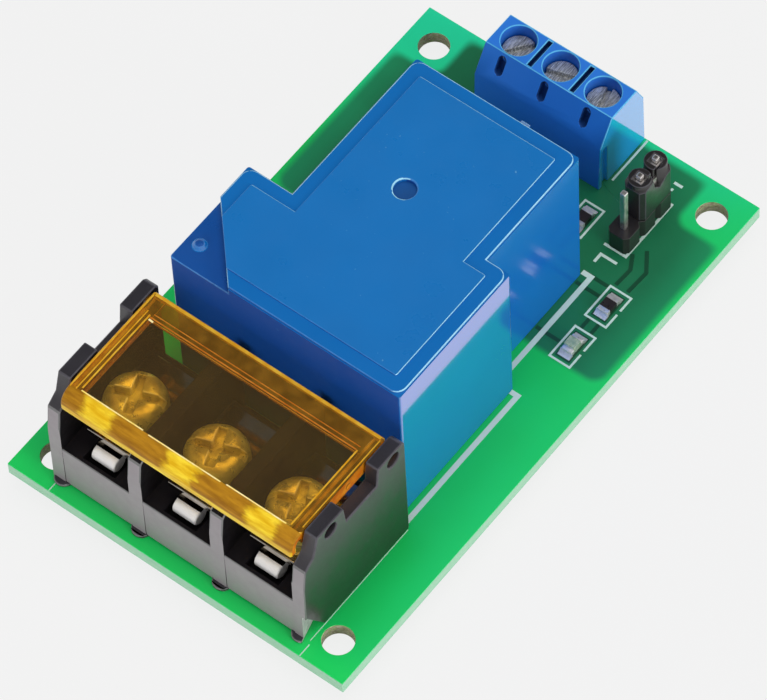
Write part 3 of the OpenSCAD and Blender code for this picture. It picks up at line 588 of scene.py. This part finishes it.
def plan_bevels(bm, width):
    """Bevel weights on the outer edges, cut down where a face or a neighbouring edge leaves little room."""
    layer = bm.edges.layers.float.new("bevel_weight_edge")
    sharp = {e for e in bm.edges if len(e.link_faces) == 2 and e.calc_face_angle(0.0) > BEVEL_ANGLE}
    for e in sharp:
        if not e.is_convex:
            continue
        along = (e.verts[1].co - e.verts[0].co).normalized()
        room = min(face_width(f, e) for f in e.link_faces)
        for v in e.verts:
            for other in v.link_edges:
                if other is not e and other in sharp:
                    turn = abs(along.dot((other.verts[1].co - other.verts[0].co).normalized()))
                    if turn < 0.75:
                        room = min(room, other.calc_length())
        if room > NARROW * MM:
            e[layer] = min(1.0, ROOM_SHARE * room / (width * MM))


def bake(ob):
    """Turns the modifiers into mesh."""
    graph = bpy.context.evaluated_depsgraph_get()
    mesh = bpy.data.meshes.new_from_object(ob.evaluated_get(graph), depsgraph=graph)
    mesh.name = ob.name
    ob.modifiers.clear()
    ob.data = mesh


def clean_copy(source, name, bevel, split):
    """A new mesh from a CAD mesh, with its flat faces joined up and its bevels planned."""
    bm = bmesh.new()
    bm.from_mesh(source.data)
    bmesh.ops.remove_doubles(bm, verts=bm.verts, dist=1e-6)
    bmesh.ops.dissolve_limit(bm, angle_limit=FLAT_ANGLE, verts=bm.verts, edges=bm.edges)
    bm.normal_update()
    plan_bevels(bm, bevel)
    if split:
        bmesh.ops.triangulate(bm, faces=[f for f in bm.faces if len(f.verts) > 8])
    for f in bm.faces:
        f.material_index = 0
    mesh = bpy.data.meshes.new(name)
    bm.to_mesh(mesh)
    bm.free()
    return mesh


def cut(mesh, planes):
    """Splits the faces of a mesh along planes (point, normal) in millimetres."""
    bm = bmesh.new()
    bm.from_mesh(mesh)
    for point, normal in planes:
        bmesh.ops.bisect_plane(
            bm,
            geom=bm.verts[:] + bm.edges[:] + bm.faces[:],
            plane_co=Vector(point) * MM,
            plane_no=Vector(normal),
            dist=1e-7,
        )
    bm.to_mesh(mesh)
    bm.free()


def dress(
    node, name, slot, *keys, bevel=0.12, edges=(), trim=None, cuts=(), choose=None, segments=3,
    split=False,
):
    """A clean copy of a CAD node, with rounded edges, that stands for the node.

    keys are its materials. choose names the key of a face from its centre and normal, and without it all
    faces take the first key. edges are the materials of the rounded edges. trim names the key of such a
    face, or None where it is treated like any other, and without it they take the first of edges.
    cuts are planes that split the faces before they get their materials, and split breaks up large faces
    with many corners before the edges are rounded."""
    source = frame["nodes"][node]
    mesh = clean_copy(source, name, bevel, split)
    ob = link(name, mesh, source["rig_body"])
    paint(ob, *keys, *edges)
    mod = ob.modifiers.new("rounded", "BEVEL")
    mod.width = bevel * MM
    mod.segments = segments
    mod.limit_method = "WEIGHT"
    mod.use_clamp_overlap = False
    mod.miter_outer = "MITER_ARC"
    mod.material = len(keys) if edges else -1
    bake(ob)
    cut(ob.data, cuts)
    order = keys + edges
    for p in ob.data.polygons:
        centre, normal = p.center / MM, p.normal
        key = None
        if edges and p.material_index == len(keys):
            key = trim(centre, normal) if trim else edges[0]
        if key is None:
            key = choose(centre, normal) if choose else keys[0]
        p.material_index = order.index(key)
        p.use_smooth = True
    ob.data.set_sharp_from_angle(angle=SMOOTH_ANGLE)
    mod = ob.modifiers.new("normals", "WEIGHTED_NORMAL")
    mod.keep_sharp = True
    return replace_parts(ob, node)


def carry(node, key):
    """A CAD node that stays, with its material."""
    ob = frame["nodes"][node]
    paint(ob, key)
    return ob


def ribbon_faces(bm, path, width, z, thick, closed):
    """A flat strip along a path of (x, y) points, mitred at its bends."""
    pts = [Vector(p) for p in path]
    n = len(pts)
    left, right = [], []
    for i, p in enumerate(pts):
        before = pts[i - 1] if closed or i else None
        after = pts[(i + 1) % n] if closed or i < n - 1 else None
        d0 = (p - before).normalized() if before is not None else None
        d1 = (after - p).normalized() if after is not None else None
        d0, d1 = d0 or d1, d1 or d0
        n0, n1 = Vector((-d0.y, d0.x)), Vector((-d1.y, d1.x))
        mid = (n0 + n1).normalized()
        reach = width / 2 / max(mid.dot(n0), 0.35)
        left.append(p + mid * reach)
        right.append(p - mid * reach)
    rings = []
    for a, b in zip(left, right):
        rings.append([
            bm.verts.new((v.x * MM, v.y * MM, h * MM))
            for v, h in ((a, z), (b, z), (b, z + thick), (a, z + thick))
        ])
    spans = list(zip(rings, rings[1:])) + ([(rings[-1], rings[0])] if closed else [])
    for r0, r1 in spans:
        for k in range(4):
            bm.faces.new((r0[k], r0[(k + 1) % 4], r1[(k + 1) % 4], r1[k]))
    if not closed:
        bm.faces.new(rings[0])
        bm.faces.new(rings[-1][::-1])


def strips(name, paths, body, key, z, thick):
    """One piece made of flat strips: each path is (width, points), or (width, points, True) if closed."""
    bm = bmesh.new()
    for width, pts, *closed in paths:
        ribbon_faces(bm, pts, width, z, thick, bool(closed))
    return from_faces(bm, name, body, key)


# ------------------------------------------------------------------ board


def board_zone(c, n):
    in_hole = math.hypot(abs(c.x) - HOLES[0], abs(c.y) - HOLES[1]) < HOLE_REACH
    return "hole_wall" if in_hole and abs(n.z) < 0.5 else "mask"


dress("circuit_board", "board_laminate", "board_green", "mask", "hole_wall", bevel=0.06, choose=board_zone)
carry("solder_joints", "solder")

# widths and heights of what is printed on the board or lies under its mask, and of the painted shade under
# the chips
RELAY_LINE = 0.55
HEADER_LINE = 0.3
MARK = 0.32
FRAME_LINE = 0.22
TICK = 0.1
WALL_LINE = 0.07
TRACE = 0.42
SHORT_TRACE = 0.4
CHIP_PAD_SHADE = 1.7
HIDDEN_PAD_SHADE = 1.6
PRINT_T = 0.03
TRACE_T = 0.014


def frame_round(node, left, right, near, far, gap=None):
    """A printed frame round a small piece, measured from its middle, with a gap in its right side."""
    corners = [(right, near), (left, near), (left, far), (right, far)]
    if gap is None:
        return FRAME_LINE, path_from(node, *corners), True
    return FRAME_LINE, path_from(node, (right, gap[0]), *corners, (right, gap[1]))


print_lines = strips(
    "board_print",
    [
        # beside the wide end and the coil end of the relay
        (RELAY_LINE, path_from("relay_case", (14.33, -17.315), (14.33, 0.715), (13.48, 0.715))),
        (RELAY_LINE, path_from("relay_case", (11.9, 1.785), (11.9, 15.665), (10.83, 15.665))),
        # round the header, with a corner mark before it and two dashes past it
        (HEADER_LINE, path_from("header_base", (-1.39, -3.89), (1.2, -3.89), (1.2, 3.7))),
        (HEADER_LINE, path_from("header_base", (-0.92, -6.14), (-0.92, -5.06), (0.99, -5.06))),
        (MARK, path_from("header_base", (-0.14, 5.81), (0.84, 5.81))),
        (MARK, path_from("header_base", (0.05, 5.01), (0.3, 5.01))),
        # beside the input terminal and the barrier strip, and at the board's front edge
        (FRAME_LINE, path_from("input_housing", (7.97, -2.05), (7.97, 3.71))),
        (WALL_LINE, path_from("barrier_housing", (15.3, -7.125), (15.3, 7.775))),
        (TICK, path_from("circuit_board", (15.05, -32.88), (15.05, -31.4))),
        (TICK, path_from("circuit_board", (-15.05, -32.88), (-15.05, -31.4))),
        # round the four chips
        frame_round("status_led", -1.18, 1.2, -2.09, 2.04, gap=(-0.3, 0.2)),
        frame_round("led_resistor", -1.23, 1.23, -2.04, 2.04, gap=(-0.25, 0.25)),
        frame_round("input_resistor", -1.15, 1.1, -1.9, 1.9),
        frame_round("base_resistor", -1.2, 1.1, -1.9, 1.9),
    ],
    "board", "silk", DECK, PRINT_T,
)
# thin paint: without this its side walls draw a dark strip in what the relay's glossy side mirrors
print_lines.visible_glossy = False
print_lines.visible_shadow = False
print_lines.visible_diffuse = False

strips(
    "board_traces",
    [
        # from the header to the LED's resistor, and from the relay to both chips
        (TRACE, path_from("led_resistor", (-1.7, 6.25), (-0.8, 4.65), (-0.9, 2.45))),
        (TRACE, path_from("led_resistor", (-0.8, 7.35), (0.65, 5.25), (0.5, 2.45))),
        (TRACE, path_from("led_resistor", (-4.2, 1.85), (-1.4, 1.85))),
        (TRACE, path_from("led_resistor", (-4.2, 0.45), (-1.4, 0.45))),
        (TRACE, path_from("status_led", (-4.15, -0.25), (-1.35, -0.25))),
        # between the LED and its resistor
        (SHORT_TRACE, path_from("status_led", (-0.6, 2.2), (-0.6, 3.5))),
        (SHORT_TRACE, path_from("status_led", (0.55, 2.2), (0.55, 3.5))),
        # dark patches under the chips, in the colour of copper under the mask: partly dark pad copper and
        # partly painted shade
        (CHIP_PAD_SHADE, path_from("status_led", (0.01, -1.7), (0.01, 1.65))),
        (CHIP_PAD_SHADE, path_from("led_resistor", (0, -1.65), (0, 1.65))),
        (HIDDEN_PAD_SHADE, path_from("input_resistor", (-0.03, -1.6), (-0.03, 1.6))),
        (HIDDEN_PAD_SHADE, path_from("base_resistor", (-0.05, -1.6), (-0.05, 1.6))),
    ],
    "board", "trace", DECK, TRACE_T,
)

# ------------------------------------------------------------------ relay

RELAY_TOP = relay_high.z
LEDGE_Z = RELAY_TOP - 1.1  # the low corner of the top, in front on the left
DIMPLE = ((relay_low.x + relay_high.x) / 2, relay_low.y + 18.3)
DIMPLE_R = 1.1
WIDE_END_X = relay_high.x - 1.39  # right sides beyond this belong to the wide end


# The front, the ledge and the dimple take darker copies of the blue, painted shade, and the right sides
# lighter ones, painted light.
def relay_zone(c, n):
    if n.y < -0.9:
        return "relay_front_shaded"
    if n.x > 0.9 and c.z < RELAY_TOP - 0.5:
        return "relay_right_lit" if c.x > WIDE_END_X else "relay_far_lit"
    if n.z > 0.9:
        in_dimple = math.hypot(c.x - DIMPLE[0], c.y - DIMPLE[1]) < DIMPLE_R
        if in_dimple and c.z < RELAY_TOP - 0.3:
            return "relay_dimple_shaded"
        if c.z > RELAY_TOP - 0.05:
            return "relay_panel"
        if abs(c.z - LEDGE_Z) < 0.4:
            return "relay_ledge_shaded"
    return "relay"


def relay_trim(c, n):
    """Painted highlights: pale edges round the top where they face back or right, and low on those that
    face left, and fainter ones elsewhere.
    """
    faces_back = n.y > 0.2 or n.x > 0.2
    faces_left = n.x < -0.2 and c.z < RELAY_TOP - 0.12
    lit_edge = c.z > RELAY_TOP - 0.5 and (faces_back or faces_left)
    return "relay_edge_highlight" if lit_edge else "relay_faint_highlight"


dress(
    "relay_case", "relay_cover", "relay_blue",
    "relay", "relay_panel", "relay_front_shaded", "relay_right_lit", "relay_far_lit", "relay_ledge_shaded", "relay_dimple_shaded",
    bevel=0.14, edges=("relay_edge_highlight", "relay_faint_highlight"), choose=relay_zone, trim=relay_trim,
)
# painted light: the base takes the lighter copy of the right sides
carry("relay_base", "relay_right_lit")
carry("relay_bobbin", "bobbin")
carry("relay_coil", "winding")
for node in ("relay_core", "relay_yoke", "relay_armature"):
    carry(node, "iron")
for node in ("relay_contact_blade", "relay_open_contact", "relay_closed_contact", "relay_common_terminal"):
    carry(node, "copper")
carry("relay_coil_pins", "solder")

# ------------------------------------------------------------------ barrier strip

END_WALL = 1.5
HALF_STRIP = barrier_high.x - mid_x
FLOOR_Z = DECK + 6.1  # top of the strip's floor
NOTCH_Z = DECK + 13  # top of the end walls between their ears


# The front faces take a grey copy of the black, a painted sheen; the end walls and the bays take darker
# ones, painted shade; and low rounded corners that face right a pale one, a painted highlight.
def barrier_zone(c, n):
    out = abs(c.x - mid_x)
    if n.y < -0.6 and c.y < barrier_low.y + 1.3 and c.z > DECK + 0.3:
        return "front"
    if abs(n.x) > 0.9 and out > HALF_STRIP - 0.1:
        return "side"
    on_bevel = n.x > 0.15 and 0.1 < abs(n.y) < 0.95
    if on_bevel and c.z < DECK + 4 and out > HALF_STRIP - 1:
        return "lit_edge"
    if out < HALF_STRIP - END_WALL + 0.1 and c.z > FLOOR_Z - 2:
        return "bay"
    return "black"


def barrier_trim(c, n):
    """Painted highlights on the edges: grey ones on the front, none inside the bays and darker ones
    elsewhere.
    """
    if c.y < barrier_low.y + 1.6 and c.z < NOTCH_Z and n.y < -0.3:
        return "front_edge"
    if abs(c.x - mid_x) < HALF_STRIP - END_WALL - 0.1:
        return "front_edge" if c.y < barrier_low.y + 0.6 else None
    return "dim_edge_highlight"


dress(
    "barrier_housing", "barrier_body", "barrier_black", "black", "front", "side", "bay", "lit_edge",
    bevel=0.16, edges=("front_edge", "dim_edge_highlight"), choose=barrier_zone, trim=barrier_trim,
)

COVER_HALF = 13.6  # half the cover's width without its pins
RAIL = 1.3  # width of the frame along each side
REAR_RAIL = 2.6
LIP = 1.6
front_y, rear_y = cover_low.y, cover_high.y
left, right = mid_x - COVER_HALF + RAIL, mid_x + COVER_HALF - RAIL  # sides of the clear panel
near, back = front_y + LIP, rear_y - REAR_RAIL  # its near and far ends


def cover_zone(c, n):
    if abs(n.x) > 0.8 and abs(c.x - mid_x) > COVER_HALF - 0.2:
        return "end"
    if c.y < near - 0.1:
        return "lip"
    if not left < c.x < right or c.y > back:
        return "frame"
    return "panel"


# its rounded edges take painted highlights, and on the lip the lip's colours
cover = dress(
    "barrier_cover", "amber_cover", "amber_plastic", "panel", "frame", "lip", "end",
    bevel=0.22, edges=("glow",),
    cuts=[
        ((left, 0, 0), (1, 0, 0)),
        ((right, 0, 0), (1, 0, 0)),
        ((0, back, 0), (0, 1, 0)),
        ((0, near, 0), (0, 1, 0)),
    ],
    choose=cover_zone, trim=lambda c, n: "glow" if c.y > near else "lip",
)
cover.visible_shadow = False  # it would throw the shadow of a solid piece

# painted highlights: bright lines where the frame under the cover ends, and along the bend of the lip
LINE_Z = cover_high.z + 0.004
LINE_T = 0.02


def cover_lines(name, key, *paths):
    strips(name, paths, "cover", key, LINE_Z, LINE_T)


cover_lines(
    "cover_inner_rim_highlight", "ember",
    (0.14, [(left + 0.1, back), (right - 0.1, back)]),
    (0.1, [(left + 0.3, back + 0.45), (right, back + 0.45)]),
)
cover_lines(
    "cover_side_rim_highlights", "glow",
    (0.16, [(left, near + 0.3), (left, back + 0.2)]),
    (0.12, [(left - 0.45, near - 0.1), (left - 0.45, back + 0.5)]),
    (0.16, [(right, near + 0.2), (right, back)]),
)
cover_lines(
    "cover_rear_rim_highlights", "glow",
    (0.3, [(left - 1.0, rear_y - 0.3), (right + 1.0, rear_y - 0.3)]),
    (0.14, [(left - 1.1, near - 0.2), (left - 1.1, rear_y - 0.5)]),
    (0.12, [(right + 1.05, near + 0.6), (right + 1.05, rear_y - 0.5)]),
)
cover_lines(
    "cover_bend_highlights", "gleam",
    (0.13, [(left + 0.1, near + 0.05), (left + 7.4, near + 0.05)]),
    (0.13, [(left + 8.1, near - 0.05), (left + 16.6, near - 0.05)]),
    (0.13, [(left + 17.2, near + 0.05), (right - 0.4, near + 0.05)]),
    (0.2, [(left + 0.2, back - 0.25), (left + 0.75, back - 0.3)]),
)

TONGUE_END_Y = barrier_low.y + 4.2  # the plates are bright metal before this and darker metal under the clamps: a lit and a shaded copy, painted light and painted shade
for i in (1, 2, 3):
    dress(
        f"barrier_plate_{i}", f"plate_{i}", "tinned_metal", "tin", "flat_nickel", bevel=0.06,
        choose=lambda c, n: "tin" if c.y < TONGUE_END_Y else "flat_nickel",
    )
    dress(f"barrier_clamp_{i}", f"clamp_plate_{i}", "nickel_plate", "flat_nickel", bevel=0.1)
    # the rim takes a painted highlight where it faces right
    dress(
        f"barrier_screw_{i}", f"clamp_screw_head_{i}", "nickel_plate", "nickel", bevel=0.26,
        edges=("nickel_rim_highlight",), trim=lambda c, n: "nickel_rim_highlight" if n.x > 0.25 and n.y < 0.6 else None,
    )

# ------------------------------------------------------------------ input terminal

input_mid_x = (input_low.x + input_high.x) / 2
INPUT_PITCH = box_mm("input_contact_2")[0].x - box_mm("input_contact_1")[0].x
WELL_R = 1.8
WELL_FLOOR_Z = DECK + 6.8
INPUT_SCREW_Y = input_low.y + 4.2
SHOULDER_Y = input_low.y + 0.3  # foot of the slope on the near side
SHOULDER_Z = DECK + 6.5
SLOPE = 1.9 / 3.2  # how far the slope runs back as it rises by 1


def in_screw_well(c):
    near_screw = any(
        math.hypot(c.x - input_mid_x - k * INPUT_PITCH, c.y - INPUT_SCREW_Y) < WELL_R + 0.05
        for k in (-1, 0, 1)
    )
    return near_screw and c.z > WELL_FLOOR_Z


def on_terminal_skin(c, n):
    """True for the outer sides, the top, the slopes and the near face, but not inside slits or grooves."""
    if abs(n.x) > 0.9 and abs(abs(c.x - input_mid_x) - (input_high.x - input_mid_x)) < 0.05:
        return True
    if n.z > 0.9 and c.z > input_high.z - 0.05:
        return True
    slope_y = SHOULDER_Y + (c.z - SHOULDER_Z) * SLOPE
    if n.y < -0.7 and n.z > 0.3 and abs(c.y - slope_y) < 0.05:
        return True
    if n.y < -0.9 and c.y < SHOULDER_Y + 0.01:
        return True
    return n.y > 0.8 and c.y > input_high.y - 1.35


# Slits and grooves take a darker copy of the blue, painted shade, and the right sides and the side groove a
# lighter one, painted light.
def terminal_zone(c, n):
    if in_screw_well(c):
        return "terminal_front"
    in_side_groove = c.x > input_high.x - 0.5 and c.y < input_low.y + 2 and c.z < SHOULDER_Z
    if in_side_groove:
        return "terminal_right_lit"
    if not on_terminal_skin(c, n):
        return "terminal_deep_shade"
    if n.x > 0.9:
        return "terminal_right_lit"
    return "terminal_front" if n.y < -0.7 else "terminal"


def terminal_trim(c, n):
    """Painted highlights: pale edges round the top and on the right, above the lower half."""
    on_top = c.z > input_high.z - 0.3
    on_right = c.x > input_high.x - 0.2 and c.z > DECK + 6
    return "terminal_edge_highlight" if on_top or on_right else None


dress(
    "input_housing", "input_body", "terminal_blue",
    "terminal", "terminal_deep_shade", "terminal_right_lit", "terminal_front",
    bevel=0.1, edges=("terminal_edge_highlight",), choose=terminal_zone, trim=terminal_trim,
)
for i in (1, 2, 3):
    carry(f"input_contact_{i}", "tin")
    carry(f"input_cage_{i}", "zinc")
    dress(f"input_screw_{i}", f"input_screw_head_{i}", "zinc_steel", "zinc", bevel=0.12)

# ------------------------------------------------------------------ trigger header

dress("header_base", "header_block", "header_black", "inner_black", bevel=0.06)
dress("header_pins", "header_posts", "plated_pin", "pin", bevel=0.14)
# its rounded edges take painted highlights
dress(
    "jumper_shell", "jumper_cap", "header_black", "inner_black", bevel=0.07, edges=("dim_edge_highlight",),
    segments=2, split=True,
)
carry("jumper_clip", "pin")

# ------------------------------------------------------------------ surface-mount pieces

CAP = 0.45  # length of a chip's metal ends
PAD_HALF = 0.7
FOOT = 0.9  # how far the feet of a package stand out beside it

# side view of the solder that slopes up to a chip's end: (distance out from the end, height)
FILLET = ((-0.1, 0), (0.5, 0), (0.5, 0.04), (0.3, 0.09), (0.12, 0.22), (-0.1, 0.42))


def prisms(name, pieces, body, key):
    """One piece from side views in Y and Z, each drawn out along X: (x0, x1, points)."""
    bm = bmesh.new()
    for x0, x1, pts in pieces:
        a = [bm.verts.new((x0 * MM, y * MM, z * MM)) for y, z in pts]
        b = [bm.verts.new((x1 * MM, y * MM, z * MM)) for y, z in pts]
        bm.faces.new(a)
        bm.faces.new(b[::-1])
        for k in range(len(pts)):
            m = (k + 1) % len(pts)
            bm.faces.new((a[m], a[k], b[k], b[m]))
    from_faces(bm, name, body, key)


def chip(node, name, slot, body_key):
    """A chip with bright ends and a coloured body, on two pads with sloping solder."""
    low, high = box_mm(node)
    dress(
        node, name, slot, "solder", body_key, bevel=0.06,
        cuts=[((0, low.y + CAP, 0), (0, 1, 0)), ((0, high.y - CAP, 0), (0, 1, 0))],
        choose=lambda c, n: body_key if low.y + CAP < c.y < high.y - CAP else "solder",
    )
    x = (low.x + high.x) / 2
    fillets = [
        (x - PAD_HALF, x + PAD_HALF, [(end + side * out, DECK + up) for out, up in FILLET])
        for side, end in ((-1, low.y), (1, high.y))
    ]
    prisms(name + "_pads", fillets, "board", "solder")


def package(node, name):
    """A black package with its feet along both long sides."""
    low, high = box_mm(node)
    body = low.x + FOOT - 0.02, high.x - FOOT + 0.02
    dress(
        node, name, "package_black", "package", "solder", bevel=0.08,
        choose=lambda c, n: "package" if body[0] < c.x < body[1] else "solder",
    )


chip("status_led", "led_chip", "led_resin", "lens")
chip("led_resistor", "resistor_led", "chip_black", "chip")
chip("input_resistor", "resistor_input", "chip_black", "chip")
chip("base_resistor", "resistor_base", "chip_black", "chip")
for node in ("optocoupler", "transistor", "flyback_diode"):
    package(node, node + "_package")

# ------------------------------------------------------------------ floor, light and camera

WHITE = srgb(246, 246, 246)
FLOOR_WHITE = 0.9  # share of plain white in the floor, the rest being lit
BACKDROP = 0.905  # strength of the background


def studio_floor():
    """A pale floor that keeps the object's shadow and is seen as a plain white."""
    bm = bmesh.new()
    bmesh.ops.create_circle(bm, cap_ends=True, radius=6.0, segments=96)
    mesh = bpy.data.meshes.new("floor")
    bm.to_mesh(mesh)
    bm.free()
    ob = bpy.data.objects.new("floor", mesh)
    bpy.context.scene.collection.objects.link(ob)
    s = Shader("studio_floor")
    grey = s.mix(s.noise(400.0), (0.6, 0.6, 0.6), (0.62, 0.62, 0.62))
    s.set(base_color=grey, roughness=0.9, specular_ior_level=0.0)
    glow = s.node("ShaderNodeEmission", (*WHITE, 1), 1.0)
    rays = s.node("ShaderNodeLightPath").node
    bent = s.math("MAXIMUM", rays.outputs["Is Glossy Ray"], rays.outputs["Is Transmission Ray"])
    seen = s.math("MAXIMUM", rays.outputs["Is Camera Ray"], bent)
    both = s.node("ShaderNodeMixShader", s.math("MULTIPLY", seen, FLOOR_WHITE), s.bsdf.outputs[0], glow)
    s.tree.links.new(both, s.tree.nodes["Material Output"].inputs["Surface"])
    ob.data.materials.append(s.mat)


studio_floor()

AMBIENT = 0.42  # plain light from all round
DARK_CEILING = (-0.35, 0.408, 0.843)  # middle of the part of the ceiling that reflections show dark


def studio_world():
    """An even world. Reflections and clear plastic see pale walls round a dark patch of ceiling."""
    world = bpy.data.worlds.new("studio")
    bpy.context.scene.world = world
    world.use_nodes = True
    sky = Nodes(world.node_tree)
    where = sky.node("ShaderNodeTexCoord", out=0)
    toward = sky.node("ShaderNodeVectorMath", where, DARK_CEILING, operation="DOT_PRODUCT", out=1)
    walls = sky.soft(toward, 0.6, 0.9, 0.9, 0.015)
    front = sky.soft(sky.node("ShaderNodeSeparateXYZ", where, out=1), -0.95, -0.2, 0.4, 1.0)
    mirror = sky.math("MULTIPLY", walls, front)
    rays = sky.node("ShaderNodeLightPath").node
    bent = sky.math("MAXIMUM", rays.outputs["Is Glossy Ray"], rays.outputs["Is Transmission Ray"])
    lit = sky.node("ShaderNodeMix", bent, None, AMBIENT, mirror)
    shown = sky.node("ShaderNodeMix", rays.outputs["Is Camera Ray"], None, lit, BACKDROP)
    background = sky.tree.nodes["Background"]
    sky.put(background.inputs["Color"], (1, 1, 1))
    sky.put(background.inputs["Strength"], shown)


studio_world()


def area(name, place, size, energy):
    """A round lamp that points at the object. place and size are in metres, and energy in watts."""
    data = bpy.data.lights.new(name, "AREA")
    data.shape = "DISK"
    data.size = size
    data.energy = energy
    ob = bpy.data.objects.new(name, data)
    ob.location = place
    ob.rotation_euler = (-Vector(place)).to_track_quat("-Z", "Y").to_euler()
    bpy.context.scene.collection.objects.link(ob)
    ob.visible_glossy = False


area("overhead", (0.06, 0.14, 0.8), 0.7, 3.0)
area("side", (0.86, -0.05, 0.24), 0.4, 4.0)
area("front", (-0.05, -0.8, 0.2), 0.4, 2.2)

AZIMUTH, ELEVATION, ROLL = 40.6, 57.5, -3.48  # the photograph's direction, in degrees
DISTANCE = 615.9 * MM
LENS, SENSOR = 302.2, 36  # focal length and width of the sensor
AIM = (-0.387, -1.497)  # the middle of the view, measured right and up from the board's middle


def studio_camera():
    """The photograph's view."""
    az, el, roll = (math.radians(v) for v in (AZIMUTH, ELEVATION, ROLL))
    back = Vector((math.sin(az) * math.cos(el), -math.cos(az) * math.cos(el), math.sin(el)))
    right = (-back).cross(Vector((0, 0, 1))).normalized()
    up = right.cross(-back)
    turned_right = math.cos(roll) * right + math.sin(roll) * up
    turned_up = math.cos(roll) * up - math.sin(roll) * right
    data = bpy.data.cameras.new("camera")
    data.lens = LENS
    data.sensor_width = SENSOR
    data.clip_start, data.clip_end = 0.01, 20
    ob = bpy.data.objects.new("camera", data)
    bpy.context.scene.collection.objects.link(ob)
    ob.matrix_world = Matrix((
        (turned_right.x, turned_up.x, back.x, 0),
        (turned_right.y, turned_up.y, back.y, 0),
        (turned_right.z, turned_up.z, back.z, 0),
        (0, 0, 0, 1),
    ))
    ob.location = (
        Vector((0, 0, DECK * MM)) + back * DISTANCE
        + turned_right * AIM[0] * MM + turned_up * AIM[1] * MM
    )
    bpy.context.scene.camera = ob


studio_camera()
bpy.context.scene.view_settings.view_transform = "Standard"
